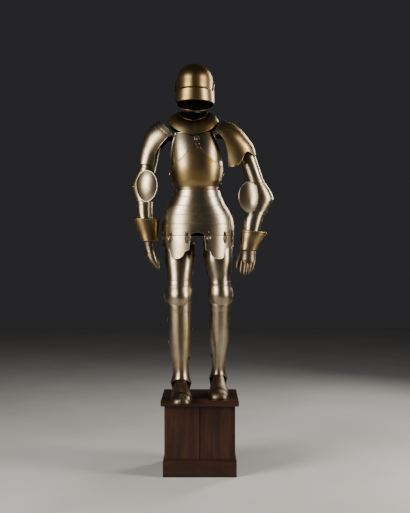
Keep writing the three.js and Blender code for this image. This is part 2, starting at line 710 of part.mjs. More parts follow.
function buildLeg({ name, hand }) {
  const leg = LEGS[name];
  const form = uprightForm(leg.form);
  piece("legs", `cuisse_${name}`, plate(form, {
    from: -CUISSE.reach, to: CUISSE.reach, low: CUISSE.low, high: CUISSE.high, columns: 10, rows: 4,
  }), "bright");
  const behind = CUISSE.reach + CUISSE.gap;
  piece("legs", `cuisse_back_${name}`, plate(form, {
    from: behind, to: 360 - behind, low: CUISSE.low + CUISSE.lowTrim, high: CUISSE.high - CUISSE.highTrim,
    columns: 6, rows: 2,
  }), "bright");

  for (const { name: lame, low, high, drop, lift, bulge, reach, rows } of KNEE) {
    const shell = plate(form, {
      from: -reach, to: reach, columns: 10, rows, high,
      low: (angle) => low - drop * Math.exp(-((angle / KNEE_POINT) ** 2)),
      lift: (v, angle) => lift + bulge * Math.sin(Math.PI * v) * Math.cos(radians(angle / 2)) ** 2,
    });
    const whole = lame === "poleyn" ? joined(shell, kneeWing(leg.wing, hand)) : shell;
    piece("legs", `${lame}_${name}`, whole, "bright");
  }

  const shin = { columns: 8, rows: 5 };
  piece("legs", `greave_front_${name}`, plate(form, {
    ...shin, from: -90 + SEAM, to: 90 - SEAM, low: evenEdge(leg.arch), high: GREAVE.high,
  }), "bright");
  const ankle = leg.arch.at(-1).z;
  const heelEdge = table("at z", [90, ankle], [105, ankle - 6], [135, GREAVE.heel + 12], [180, GREAVE.heel]);
  piece("legs", `greave_back_${name}`, plate(form, {
    ...shin, from: 90 + SEAM, to: 270 - SEAM, low: evenEdge(heelEdge), high: GREAVE.backHigh,
  }), "bright");

  const foot = footForm(leg.foot, PLINTH.height + SOLE_GAP);
  const across = { from: -90, to: 90, columns: 8 };
  const [tip, heel] = [leg.foot[0].y, leg.foot.at(-1).y];
  piece("legs", `sabaton_${name}`, plate(foot, { ...across, low: leg.bend - 4, high: heel, rows: 3 }), "brown");
  piece("legs", `sabaton_toe_${name}`, plate(foot, {
    ...across, low: leg.bend, high: tip, rows: 4, pole: true, hand: -1, lift: LAYER - 1,
  }), "brown");
}

/** The wing that guards the outer side of a knee. */
function kneeWing({ x, y, z, turn }, hand) {
  const rim = { from: 0, to: 360, low: 0, high: 1 };
  const wing = plate(dishForm(WING), { ...rim, columns: 10, rows: 1, pole: true, step: 0.01 });
  return wing.rotateZ(radians(hand * 90 + turn)).translate(x, y, z);
}

buildPlinth();
buildHelmet();
buildTorso();
buildSkirt();
for (const side of SIDES) {
  buildArm(side);
  buildLeg(side);
}

export default root;
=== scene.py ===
"""Looks of a suit of plate armour on a wooden plinth, laid out as an add-on and run as a script.

Every plate is a wall on a form: a smooth surface worked out from a short table of sections, in millimetres,
in the frame's own axes. The tables repeat the sections of the solids that each plate stands for.
"""

from math import cos, pi, radians, sin

import bmesh
import bpy
import numpy as np
from bpy.props import FloatProperty, FloatVectorProperty, PointerProperty
from bpy.types import Operator, Panel, PropertyGroup
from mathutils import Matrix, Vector


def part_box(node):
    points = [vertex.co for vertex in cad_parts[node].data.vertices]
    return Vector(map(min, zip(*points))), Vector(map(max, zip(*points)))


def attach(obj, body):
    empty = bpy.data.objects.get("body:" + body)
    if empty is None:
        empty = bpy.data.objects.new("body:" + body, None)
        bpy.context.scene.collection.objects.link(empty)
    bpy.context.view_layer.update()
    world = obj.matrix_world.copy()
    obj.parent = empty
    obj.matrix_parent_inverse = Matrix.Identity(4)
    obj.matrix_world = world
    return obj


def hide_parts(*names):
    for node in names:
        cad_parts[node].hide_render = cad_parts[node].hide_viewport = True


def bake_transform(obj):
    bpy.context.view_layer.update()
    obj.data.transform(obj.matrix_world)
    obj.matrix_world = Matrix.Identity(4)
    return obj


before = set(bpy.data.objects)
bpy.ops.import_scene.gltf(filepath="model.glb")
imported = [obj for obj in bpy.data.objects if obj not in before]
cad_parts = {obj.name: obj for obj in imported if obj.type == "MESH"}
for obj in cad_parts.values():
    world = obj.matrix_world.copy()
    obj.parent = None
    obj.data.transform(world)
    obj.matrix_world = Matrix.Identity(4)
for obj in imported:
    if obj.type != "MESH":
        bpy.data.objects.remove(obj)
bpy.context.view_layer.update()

bl_info = {
    "name": "Plate Armour",
    "version": (1, 0, 0),
    "blender": (4, 5, 0),
    "location": "View3D > Sidebar > Armour",
    "description": "Builds a suit of plate armour on its plinth, piece by piece",
    "category": "Add Mesh",
}

MM = 0.001
LAYER = 4.5          # lift of one plate over the plate that it overlaps
SEAM = 0.2           # degrees that each side of a seam keeps back from it
RIDGE_SPREAD = 16    # degrees over which a medial ridge fades
SIDES = (("right", -1), ("left", 1))


# ------------------------------------------------------------------ settings

class ArmourSizes(PropertyGroup):
    """Sizes that a maker would choose."""
    wall: FloatProperty(name="Plate", description="Thickness of the steel plate", default=0.002,
                        min=0.001, max=0.003, unit="LENGTH")
    rim: FloatProperty(name="Turned rim", description="Radius of the turned rims", default=0.0026,
                       min=0.001, max=0.005, unit="LENGTH")
    rivet: FloatProperty(name="Rivet", description="Radius of a rivet's head", default=0.0034,
                         min=0.002, max=0.006, unit="LENGTH")
    strap: FloatProperty(name="Strap", description="Width of the leather straps", default=0.017,
                         min=0.01, max=0.03, unit="LENGTH")


class ArmourFinish(PropertyGroup):
    """Colours of the finishes."""
    polished: FloatVectorProperty(name="Polished steel", description="Bright plates", subtype="COLOR",
                                  default=(0.44, 0.385, 0.295), min=0, max=1)
    patina: FloatVectorProperty(name="Patina", description="Golden brown patina", subtype="COLOR",
                                default=(0.30, 0.195, 0.070), min=0, max=1)
    browned: FloatVectorProperty(name="Browned steel", description="Hands and sabatons", subtype="COLOR",
                                 default=(0.19, 0.138, 0.092), min=0, max=1)
    leather: FloatVectorProperty(name="Leather", description="Straps", subtype="COLOR",
                                 default=(0.035, 0.02, 0.013), min=0, max=1)
    brass: FloatVectorProperty(name="Brass", description="Rivets and buckles", subtype="COLOR",
                               default=(0.52, 0.38, 0.18), min=0, max=1)
    wood: FloatVectorProperty(name="Wood", description="Stained boards of the plinth", subtype="COLOR",
                              default=(0.050, 0.017, 0.008), min=0, max=1)


class ArmourStage(PropertyGroup):
    """Camera and light."""
    lens: FloatProperty(name="Lens", description="Focal length on a 36 mm sensor", default=61.33,
                        min=20, max=200, unit="CAMERA")
    distance: FloatProperty(name="Distance", description="From the camera to the plinth's centre line",
                            default=4.6, min=2, max=10, unit="LENGTH")
    eye: FloatProperty(name="Eye level", description="Height of the camera", default=1.116,
                       min=0, max=3, unit="LENGTH")
    aside: FloatProperty(name="Aside", description="How far the camera stands towards the left hand",
                         default=0.0264, min=-1, max=1, unit="LENGTH")
    key: FloatProperty(name="Key light", description="Power of the soft light on the right hand's side",
                       default=108, min=0, max=1000, unit="POWER")
    fill: FloatProperty(name="Fill light", description="Power of the soft light on the left hand's side",
                        default=62, min=0, max=1000, unit="POWER")


# ------------------------------------------------------------------ tables and forms

def table(columns, *rows):
    """Rows of numbers as arrays by the name of their column."""
    return {name: np.array([row[i] for row in rows], float) for i, name in enumerate(columns.split())}


def mix(a, b, t):
    return a + (b - a) * t


def wrap(angle):
    return (np.asarray(angle, float) + 180) % 360 - 180


def value_of(value, *args):
    return value(*args) if callable(value) else value


def track(rows, key, column, place):
    """Smooth values of one column of a table at places along its key column."""
    keys, values = rows[key], rows[column]
    if keys[-1] < keys[0]:
        keys, values = keys[::-1], values[::-1]
    slopes = np.diff(values) / np.diff(keys)
    tangents = np.concatenate(([slopes[0]], (values[2:] - values[:-2]) / (keys[2:] - keys[:-2]),
                               [slopes[-1]]))
    place = np.asarray(place, float)
    i = np.clip(np.searchsorted(keys, place) - 1, 0, len(keys) - 2)
    span = keys[i + 1] - keys[i]
    t = np.clip((place - keys[i]) / span, 0, 1)
    t2, t3 = t * t, t * t * t
    return (values[i] * (2 * t3 - 3 * t2 + 1) + tangents[i] * span * (t3 - 2 * t2 + t)
            + values[i + 1] * (3 * t2 - 2 * t3) + tangents[i + 1] * span * (t3 - t2))


def even_edge(rows):
    """An edge: its height as a smooth function of the angle from the front, the same on both sides."""
    return lambda angle: track(rows, "at", "z", np.abs(wrap(angle)))


def oval(sine, cosine, half, depth, power):
    """Distance from the centre of an oval to its outline."""
    return (np.abs(sine / half) ** power + np.abs(cosine / depth) ** power) ** (-1 / power)


def points_at(x, y, z):
    return np.stack(np.broadcast_arrays(x, y, z), axis=-1)


def keel(angle, height, crease=0.5):
    """A medial ridge: part soft, part a crease."""
    off = np.abs(wrap(angle))
    return height * ((1 - crease) * np.exp(-(off / RIDGE_SPREAD) ** 2) + crease * np.clip(1 - off / 30, 0, 1))


def upright_form(rows, crease=0.5):
    """Horizontal sections: angle 0 at the front (-Y), 90 at +X."""
    def form(angle, z):
        def at(column):
            return track(rows, "z", column, z)
        sine, cosine = np.sin(np.radians(angle)), np.cos(np.radians(angle))
        depth = np.where(cosine > 0, at("front"), at("back"))
        reach = oval(sine, cosine, at("half"), depth, at("power")) + keel(angle, at("ridge"), crease)
        return points_at(at("x") + sine * reach, at("y") - cosine * reach, z)
    return form


def dome_form(rows, spring, crown, place, turn):
    """Upright form that closes in an elliptical cap from its spring line to its crown, then is put in
    place."""
    walls = upright_form(rows, crease=0.9)
    c, s = cos(radians(turn)), sin(radians(turn))

    def form(angle, height):
        angle, height = np.broadcast_arrays(np.asarray(angle, float), np.asarray(height, float))
        arc = np.radians(90 * np.clip((height - spring) / (crown - spring), 0, 1))
        point = walls(angle, np.minimum(height, spring))
        shrink = np.cos(arc)
        x, y = point[..., 0] * shrink, point[..., 1] * shrink
        z = np.where(height > spring, spring + (crown - spring) * np.sin(arc), height)
        return points_at(place + c * x - s * y, s * x + c * y, z)
    return form


def shoulder_form(rows, hand):
    """Sections along a line from the neck out and down the arm: angle 0 is outward and up, 90 the front."""
    def form(angle, step):
        def at(column):
            return track(rows, "step", column, step)
        sine, cosine = np.sin(np.radians(angle)), np.cos(np.radians(angle))
        depth = np.where(sine > 0, at("fore"), at("aft"))
        reach = oval(sine, cosine, depth, at("rise"), 2)
        tilt = np.radians(at("tilt"))
        x = at("x") + np.cos(tilt) * cosine * reach
        return points_at(hand * x, at("y") - sine * reach, at("z") + np.sin(tilt) * cosine * reach)
    return form


def foot_form(rows, sole):
    """Upright sections across the foot: angle 0 at the top, 90 at +X."""
    def form(angle, y):
        def at(column):
            return track(rows, "y", column, y)
        sine, cosine = np.sin(np.radians(angle)), np.cos(np.radians(angle))
        reach = oval(sine, cosine, at("half"), at("top") - sole, 2.3) + keel(angle, at("ridge"))
        return points_at(at("x") + sine * reach, y, sole + cosine * reach)
    return form


def dish_form(half, above, below, depth, point=0.0, turn=0.0, place=(0, 0, 0)):
    """A dished oval that faces -Y before it is turned about Z and put in place. way runs from 0 at the rim
    to 1 at the centre."""
    c, s = cos(radians(turn)), sin(radians(turn))

    def form(angle, way):
        sine, cosine = np.sin(np.radians(angle)), np.cos(np.radians(angle))
        out = 1 - np.asarray(way, float)
        tall = np.where(cosine > 0, above, below + point * np.clip(-cosine, 0, 1) ** 6)
        x, y, z = sine * half * out, -depth * (1 - out * out), cosine * tall * out
        return points_at(place[0] + c * x - s * y, place[1] + s * x + c * y, place[2] + z)
    return form


# ------------------------------------------------------------------ meshes

class Shell:
    """Vertices in millimetres and faces that grow part by part into one mesh."""

    def __init__(self):
        self.points = []
        self.faces = []
        self.inside = []
        self.count = 0

    def add(self, points, faces, inside=()):
        """inside holds the indices of the faces that look into a hollow."""
        points = np.asarray(points, float).reshape(-1, 3)
        self.points.append(points)
        self.inside.extend(len(self.faces) + i for i in inside)
        self.faces.extend(tuple(int(i) + self.count for i in face) for face in faces)
        self.count += len(points)
        return self


def normals_of(form, angle, place, hand, step):
    along = form(angle + 0.5, place) - form(angle - 0.5, place)
    across = form(angle, place + step) - form(angle, place - step)
    normal = np.cross(along, across)
    length = np.linalg.norm(normal, axis=-1, keepdims=True)
    return hand * normal / np.maximum(length, 1e-9)


class Wall:
    """A wall on a form. start and end are angles, or functions of the way up; low and high are places along
    the form, or functions of the angle; lift is a height off the form, or a function of way and angle."""

    def __init__(self, form, start, end, low, high, columns, rows, lift=0.0, wall=2.0, pole=False,
                 hand=1, step=0.5):
        across = np.linspace(0, 1, columns + 1)
        up = np.linspace(0, 1, rows + 1)
        u, v = np.meshgrid(across, up)
        angle = mix(value_of(start, v), value_of(end, v), u)
        place = mix(value_of(low, angle), value_of(high, angle), v)
        reach = step * 4 * np.sign(np.mean(value_of(low, angle) - value_of(high, angle)))
        self.normal = normals_of(form, angle, place, hand, step)
        points = form(angle, place)
        if pole:
            near = normals_of(form, angle[-1], place[-1] + reach, hand, step)[:-1].mean(axis=0)
            self.normal[-1] = near / np.linalg.norm(near)
            points[-1] = points[-1][:-1].mean(axis=0)
        raised = value_of(lift, v, angle)
        raised = np.broadcast_to(raised, v.shape)[..., None]
        self.inner = points + self.normal * raised
        self.outer = points + self.normal * (raised + wall)
        self.ring = abs(float(np.mean(value_of(end, up[:1]) - value_of(start, up[:1])))) >= 360
        self.pole = pole

    def edge(self, side):
        """Middle line of an edge and its outward normals: low, high, start or end."""
        cut = {"low": (0, slice(None)), "high": (-1, slice(None)),
               "start": (slice(None), 0), "end": (slice(None), -1)}[side]
        closed = self.ring and side in ("low", "high")
        middle = (self.inner[cut] + self.outer[cut]) / 2
        normal = self.normal[cut]
        return (middle[:-1], normal[:-1], True) if closed else (middle, normal, False)

    def into(self, shell):
        rows, columns = self.outer.shape[:2]
        across = columns - 1 if self.ring else columns
        levels = rows - 1 if self.pole else rows
        outer = self.outer[:levels, :across].reshape(-1, 3)
        inner = self.inner[:levels, :across].reshape(-1, 3)
        count = levels * across
        points = [outer, inner]
        if self.pole:
            points += [self.outer[-1, :1], self.inner[-1, :1]]
        index = np.arange(count).reshape(levels, across)
        nxt = np.roll(index, -1, axis=1) if self.ring else index[:, 1:]
        here = index if self.ring else index[:, :-1]
        a, b, c, d = here[:-1], nxt[:-1], nxt[1:], here[1:]
        outside = np.stack((a, b, c, d), axis=-1).reshape(-1, 4)
        inside = outside[:, ::-1] + count
        foot = np.stack((nxt[0], here[0], here[0] + count, nxt[0] + count), axis=-1)
        faces = [outside, inside, foot]
        top = np.stack((here[-1], nxt[-1], nxt[-1] + count, here[-1] + count), axis=-1)
        if not self.pole:
            faces.append(top)
        if not self.ring:
            left, right = index[:, 0], index[:, -1]
            faces.append(np.stack((left[:-1], left[1:], left[1:] + count, left[:-1] + count), axis=-1))
            faces.append(np.stack((right[1:], right[:-1], right[:-1] + count, right[1:] + count), axis=-1))
        quads = [tuple(face) for face in np.concatenate(faces)]
        hollow = list(range(len(outside), 2 * len(outside)))
        if self.pole:
            crown, under = 2 * count, 2 * count + 1
            quads += [(p, q, crown) for p, q in zip(here[-1], nxt[-1])]
            hollow += range(len(quads), len(quads) + len(here[-1]))
            quads += [(q + count, p + count, under) for p, q in zip(here[-1], nxt[-1])]
            if not self.ring:
                left, right = index[-1, 0], index[-1, -1]
                quads += [(left, crown, under, left + count), (crown, right, right + count, under)]
        shell.add(np.concatenate(points), quads, hollow)
        return self


def bead(shell, line, radius, sides=8):
    """A round bead along the middle line of an edge."""
    path, normal, closed = line
    path = np.asarray(path, float)
    if closed:
        tangent = np.roll(path, -1, axis=0) - np.roll(path, 1, axis=0)
    else:
        tangent = np.gradient(path, axis=0)
    tangent /= np.maximum(np.linalg.norm(tangent, axis=1, keepdims=True), 1e-9)
    side = np.cross(tangent, normal)
    side /= np.maximum(np.linalg.norm(side, axis=1, keepdims=True), 1e-9)
    up = np.cross(side, tangent)
    turn = 2 * pi * np.arange(sides) / sides
    ring = (path[:, None] + radius * (np.cos(turn)[None, :, None] * up[:, None]
                                      + np.sin(turn)[None, :, None] * side[:, None]))
    count = len(path)
    index = np.arange(count * sides).reshape(count, sides)
    here, nxt = (index, np.roll(index, -1, axis=0)) if closed else (index[:-1], index[1:])
    quads = np.stack((here, nxt, np.roll(nxt, -1, axis=1), np.roll(here, -1, axis=1)), axis=-1).reshape(-1, 4)
    faces = [tuple(face) for face in quads]
    points = ring.reshape(-1, 3)
    if not closed:
        tips = np.array([path[0] - tangent[0] * radius * 0.6, path[-1] + tangent[-1] * radius * 0.6])
        first, last = count * sides, count * sides + 1
        points = np.concatenate((points, tips))
        for i in range(sides):
            j = (i + 1) % sides
            faces.append((index[0, i], index[0, j], first))
            faces.append((index[-1, j], index[-1, i], last))
    shell.add(points, faces)


def frame_at(form, angle, place, lift, hand=1, step=0.5):
    """Point on a form, lifted, with its right, up and outward directions."""
    normal = normals_of(form, angle, place, hand, step)
    across = form(angle, place + step) - form(angle, place - step)
    up = across / np.linalg.norm(across)
    right = np.cross(up, normal)
    return form(angle, place) + normal * lift, right, up, normal


def dome(shell, spot, radius, height=None, sides=12, rings=3):
    """A rivet's domed head on a spot from frame_at."""
    centre, right, up, normal = spot
    height = radius * 0.55 if height is None else height
    points = []
    for k in range(rings):
        swell = pi / 2 * k / rings
        for i in range(sides):
            turn = 2 * pi * i / sides
            flat = np.cos(turn) * right + np.sin(turn) * up
            points.append(centre + flat * radius * cos(swell) + normal * height * sin(swell))
    points.append(centre + normal * height)
    points.append(centre - normal * 0.3)
    top, base = len(points) - 2, len(points) - 1
    faces = []
    for i in range(sides):
        j = (i + 1) % sides
        for k in range(rings - 1):
            faces.append((k * sides + i, k * sides + j, (k + 1) * sides + j, (k + 1) * sides + i))
        last = (rings - 1) * sides
        faces.append((last + i, last + j, top))
        faces.append((j, i, base))
    shell.add(points, faces)


def add_piece(name, shell, finish, body="root", nodes=(), sharp=38, slack=0.012):
    """Makes the shell an object that rides on a body and, if nodes are given, stands for those solids."""
    mesh = bpy.data.meshes.new(name)
    mesh.from_pydata((np.concatenate(shell.points) * MM).tolist(), [], shell.faces)
    work = bmesh.new()
    work.from_mesh(mesh)
    bmesh.ops.recalc_face_normals(work, faces=work.faces)
    work.to_mesh(mesh)
    work.free()
    mesh.shade_smooth()
    mesh.set_sharp_from_angle(angle=radians(sharp))
    mesh.materials.append(finish_material(finish))
    # Faces that look into a hollow get a near-black steel: painted shade inside the plates.
    if shell.inside and finish in ("polished", "patina", "browned"):
        mesh.materials.append(finish_material("hollow_shade"))
        sides = np.zeros(len(mesh.polygons), np.int32)
        sides[shell.inside] = 1
        mesh.polygons.foreach_set("material_index", sides)
    piece = bpy.data.objects.new(name, mesh)
    bpy.context.scene.collection.objects.link(piece)
    if body:
        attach(piece, body)
    if nodes:
        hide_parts(*nodes)
        check_place(piece, shell, nodes, slack)
    return piece


def check_place(piece, shell, nodes, slack):
    """Stops if a piece doesn't lie where the solids that it stands for lie."""
    lows, highs = zip(*(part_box(node) for node in nodes))
    points = np.concatenate(shell.points) * MM
    gap = max(np.abs(points.min(axis=0) - np.min([tuple(low) for low in lows], axis=0)).max(),
              np.abs(points.max(axis=0) - np.max([tuple(high) for high in highs], axis=0)).max())
    if gap > slack:
        raise RuntimeError(f"{piece.name} is {gap / MM:.0f} mm off its solids")


# ------------------------------------------------------------------ finishes


class Nodes:
    """A short hand for the nodes of one material. Coordinates are those of the piece itself, in metres."""

    def __init__(self, name):
        self.material = bpy.data.materials.new(name)
        self.material.use_nodes = True
        self.tree = self.material.node_tree
        self.shader = self.tree.nodes["Principled BSDF"]
        self.place = self.tree.nodes.new("ShaderNodeTexCoord").outputs["Object"]

    def put(self, socket, value):
        if hasattr(value, "is_output"):
            self.tree.links.new(value, socket)
        elif isinstance(value, (tuple, list)) and len(value) == 3 and socket.type == "RGBA":
            socket.default_value = (*value, 1)
        else:
            socket.default_value = value

    def node(self, kind, output, values, **settings):
        node = self.tree.nodes.new("ShaderNode" + kind)
        for key, value in settings.items():
            setattr(node, key, value)
        for key, value in values.items():
            self.put(node.inputs[key], value)
        return node.outputs[output]

    def stretched(self, scale):
        return self.node("Mapping", "Vector", {"Vector": self.place, "Scale": scale})

    def noise(self, scale, detail=4, rough=0.55, place=None, distort=0.0):
        return self.node("TexNoise", "Fac", {
            "Vector": place or self.place, "Scale": scale, "Detail": detail, "Roughness": rough,
            "Distortion": distort})

    def cells(self, scale, place=None, output="Distance", feature="F1"):
        return self.node("TexVoronoi", output, {"Vector": place or self.place, "Scale": scale},
                         feature=feature)

    def spread(self, value, low, high, to_low=0.0, to_high=1.0, smooth=False):
        return self.node("MapRange", "Result", {
            "Value": value, "From Min": low, "From Max": high, "To Min": to_low, "To Max": to_high},
            interpolation_type="SMOOTHSTEP" if smooth else "LINEAR")

    def sum(self, a, b, operation="ADD"):
        node = self.tree.nodes.new("ShaderNodeMath")
        node.operation = operation
        self.put(node.inputs[0], a)
        self.put(node.inputs[1], b)
        return node.outputs[0]

    def blend(self, amount, a, b, kind="MIX"):
        node = self.tree.nodes.new("ShaderNodeMix")
        node.data_type = "RGBA"
        node.blend_type = kind
        self.put(node.inputs["Factor"], amount)
        self.put(node.inputs[6], a)
        self.put(node.inputs[7], b)
        return node.outputs[2]

    # Ambient occlusion raised to a power: the mask for painted shade in crevices.
    def crevice(self, distance, power=1.0):
        shade = self.node("AmbientOcclusion", "AO", {"Distance": distance}, samples=6)
        return self.sum(shade, power, "POWER")

    def bump(self, height, distance, strength=1.0, under=None):
        values = {"Height": height, "Distance": distance, "Strength": strength}
        if under is not None:
            values["Normal"] = under
        return self.node("Bump", "Normal", values)

    def set(self, **values):
        for key, value in values.items():
            self.put(self.shader.inputs[key.replace("_", " ")], value)
        return self.material


def scaled(colour, factor):
    return tuple(min(1.0, channel * factor) for channel in colour)


def mixed(a, b, t):
    return tuple(mix(p, q, t) for p, q in zip(a, b))


def steel(name, bright, stain, stained, rough):
    """Old plate: brushed and hammered steel with a clouded stain, pits, and painted shade where plates meet.
    """
    n = Nodes(name)
    clouds = n.noise(7, 5, 0.6, distort=0.6)
    patches = n.noise(31, 4, 0.6)
    freckles = n.noise(240, 3, 0.7)
    cloud = n.sum(n.sum(clouds, n.sum(patches, 0.45, "MULTIPLY")), n.sum(freckles, 0.18, "MULTIPLY"))
    amount = n.spread(cloud, *stained, smooth=True)
    colour = n.blend(amount, bright, stain)
    streaks = n.noise(420, 3, 0.6, place=n.stretched((1, 1, 0.06)))
    rounds = n.noise(900, 2, 0.6, place=n.stretched((0.08, 0.08, 1)))
    brushed = n.sum(n.sum(streaks, rounds), 0.5, "MULTIPLY")
    colour = n.blend(n.spread(brushed, 0.35, 0.7, 0.0, 0.12), colour, scaled(bright, 0.6))
    pits = n.spread(n.cells(520), 0.06, 0.22)
    worn = n.spread(n.noise(46, 3, 0.6), 0.56, 0.70)
    pitted = n.sum(n.sum(1.0, pits, "SUBTRACT"), worn, "MULTIPLY")
    colour = n.blend(n.sum(pitted, 0.45, "MULTIPLY"), colour, scaled(stain, 0.4))
    # Painted shade: ambient occlusion darkens crevices and the places where plates meet, and makes them
    # rougher.
    crevice_shade = n.crevice(0.012, 1.2)
    colour = n.blend(crevice_shade, scaled(stain, 0.16), colour)
    gloss = n.sum(n.spread(brushed, 0.3, 0.7, rough[0], rough[1]), n.spread(amount, 0, 1, 0.0, 0.09))
    gloss = n.sum(gloss, n.spread(crevice_shade, 1, 0, 0.0, 0.3))
    hammered = n.bump(n.noise(11, 1, 0.4), 0.0009, 0.5)
    scratched = n.bump(brushed, 0.00003, 0.4, hammered)
    normal = n.bump(n.sum(pitted, -1.0, "MULTIPLY"), 0.00012, 0.5, scratched)
    return n.set(Base_Color=colour, Metallic=1.0, Roughness=gloss, Normal=normal)


def leather(name, colour):
    """Strap leather: pebbled grain, creases across and paler patches."""
    n = Nodes(name)
    grain = n.cells(900, output="Distance")
    pores = n.noise(1500, 2)
    crease = n.noise(260, 3, 0.6, place=n.stretched((0.3, 0.3, 1)))
    tone = n.blend(n.spread(n.noise(40, 4), 0.35, 0.7), scaled(colour, 0.7), scaled(colour, 1.9))
    tone = n.blend(n.spread(crease, 0.62, 0.72), tone, scaled(colour, 0.3))
    height = n.sum(n.sum(grain, n.sum(pores, 0.3, "MULTIPLY")), n.sum(crease, -1.2, "MULTIPLY"))
    gloss = n.spread(grain, 0.0, 0.6, 0.42, 0.68)
    return n.set(Base_Color=tone, Roughness=gloss, Specular_IOR_Level=0.45, Normal=n.bump(height, 0.0006,
                                                                                          0.7))


def brass(name, colour):
    """Brass fittings: polished on top, with painted shade in the corners."""
    n = Nodes(name)
    tarnish = n.noise(120, 4, 0.65)
    tone = n.blend(n.spread(tarnish, 0.4, 0.65), colour, scaled(colour, 0.42))
    # Painted shade: ambient occlusion darkens the corners.
    crevice_shade = n.crevice(0.004)
    tone = n.blend(crevice_shade, scaled(colour, 0.1), tone)
    gloss = n.spread(tarnish, 0.35, 0.7, 0.22, 0.5)
    return n.set(Base_Color=tone, Metallic=1.0, Roughness=gloss, Normal=n.bump(n.noise(600, 3), 0.0002, 0.5))


def wood(name, colour):
    """Stained and polished boards. The grain runs along the direction stored on each corner."""
    n = Nodes(name)
    grain_place = n.node("Attribute", "Vector", {}, attribute_name="grain")
    warped = n.node("VectorMath", "Vector", {
        0: grain_place,
        1: n.node("VectorMath", "Vector", {
            0: n.node("TexNoise", "Color", {"Vector": grain_place, "Scale": 2.2, "Detail": 2}),
            1: (0.16, 0.16, 0.16)}, operation="MULTIPLY")}, operation="ADD")
    figure = n.noise(15, 5, 0.62, place=warped, distort=0.9)
    fibre = n.noise(130, 4, 0.7, place=grain_place)
    pores = n.noise(420, 2, 0.6, place=grain_place)
    tone = n.blend(n.spread(figure, 0.34, 0.68, smooth=True), scaled(colour, 0.5), scaled(colour, 1.75))
    tone = n.blend(n.spread(fibre, 0.42, 0.66, 0.0, 0.45), tone, scaled(colour, 0.42))
    tone = n.blend(n.spread(pores, 0.60, 0.70, 0.0, 0.75), tone, scaled(colour, 0.14))
    worn = n.spread(n.noise(18, 4, 0.6), 0.5, 0.75)
    tone = n.blend(n.sum(worn, 0.22, "MULTIPLY"), tone, scaled(colour, 2.6))
    # Painted shade: ambient occlusion darkens the corners and the joints between boards.
    tone = n.blend(n.crevice(0.02, 1.4), scaled(colour, 0.12), tone)
    gloss = n.sum(n.spread(fibre, 0.3, 0.7, 0.3, 0.46), n.sum(worn, 0.14, "MULTIPLY"))
    height = n.sum(n.sum(fibre, 0.5, "MULTIPLY"), n.sum(pores, -0.8, "MULTIPLY"))
    return n.set(Base_Color=tone, Roughness=gloss, Coat_Weight=0.25, Coat_Roughness=0.22,
                 Normal=n.bump(height, 0.0006, 0.6))


def finish_material(finish):
    """The material of a finish, made once."""
    found = bpy.data.materials.get("finish_" + finish)
    if found:
        return found
    name = "finish_" + finish
    tones = bpy.context.scene.armour_finish
    bright, patina, browned = (tuple(tones.polished), tuple(tones.patina), tuple(tones.browned))
    if finish == "polished":
        return steel(name, bright, mixed(bright, patina, 0.65), (0.62, 1.10), (0.24, 0.34))
    if finish == "patina":
        return steel(name, mixed(bright, patina, 0.55), patina, (0.60, 1.05), (0.30, 0.38))
    if finish == "browned":
        return steel(name, scaled(bright, 0.72), browned, (0.50, 0.90), (0.28, 0.44))
    # Painted shade for the faces that look into a hollow: a near-black steel.
    if finish == "hollow_shade":
        return steel(name, scaled(browned, 0.22), scaled(browned, 0.12), (0.50, 0.90), (0.5, 0.7))
    if finish == "leather":
        return leather(name, tuple(tones.leather))
    if finish == "brass":
        return brass(name, tuple(tones.brass))
    return wood(name, tuple(tones.wood))


# ------------------------------------------------------------------ fittings

def size(name):
    """A size from the settings, in millimetres."""
    return getattr(bpy.context.scene.armour_sizes, name) / MM


def rims(shell, wall, radius, *sides):
    for side in sides:
        bead(shell, wall.edge(side), radius)


def scales_at(form, angle, place, step):
    """Millimetres along the form for a degree and for a unit of place."""
    round_ = np.linalg.norm(form(angle + 0.5, place) - form(angle - 0.5, place))
    along = np.linalg.norm(form(angle, place + step) - form(angle, place - step)) / (2 * step)
    return float(round_), float(along)


def loop_on(shell, form, angle, place, width, height, lift, radius, hand=1, step=0.5, square=0.5):
    """A closed wire loop that lies on a form: a buckle's frame or a keeper."""
    per_degree, per_place = scales_at(form, angle, place, step)
    turn = np.linspace(0, 2 * pi, 28, endpoint=False)
    across, up = (np.sign(w) * np.abs(w) ** square for w in (np.cos(turn), np.sin(turn)))
    angles = angle + across * width / 2 / per_degree
    places = place + up * height / 2 / per_place
    normal = normals_of(form, angles, places, hand, step)
    bead(shell, (form(angles, places) + normal * lift, normal, True), radius)


def buckle(shell, form, angle, place, width, height, lift, hand=1, step=0.5):
    """A buckle's frame with its bar and tongue."""
    loop_on(shell, form, angle, place, width, height, lift, 1.5, hand, step)
    per_degree, per_place = scales_at(form, angle, place, step)
    for tall, wide, rise in ((0, width, 0), (height, 0, 1.4)):
        t = np.linspace(-0.5, 0.5, 7)
        angles = angle + t * wide / per_degree
        places = place + t * tall / per_place
        normal = normals_of(form, angles, places, hand, step)
        path = form(angles, places) + normal * (lift + rise * (0.4 + np.cos(pi * t)[:, None]))
        bead(shell, (path, normal, False), 1.2)


def strap(shell, form, angle, low, high, width, lift, hand=1, step=0.5, wall=2.2, tip=7.0):
    """A strap along the form, rounded at its low end."""
    per_degree, per_place = scales_at(form, angle, (low + high) / 2, step)
    half = width / 2 / per_degree

    def end(a):
        return low + tip / per_place * np.clip(np.abs((a - angle) / half), 0, 1) ** 2.5
    return Wall(form, angle - half, angle + half, end, high, 8, 24, lift, wall, hand=hand,
                step=step).into(shell)


def band(shell, form, place, start, end, width, lift, hand=1, step=0.5, wall=2.2):
    """A strap round the form."""
    per_place = scales_at(form, (start + end) / 2, place, step)[1]
    half = width / 2 / per_place
    columns = max(6, int(abs(end - start) / 4))
    return Wall(form, start, end, place - half, place + half, columns, 5, lift, wall, hand=hand,
                step=step).into(shell)


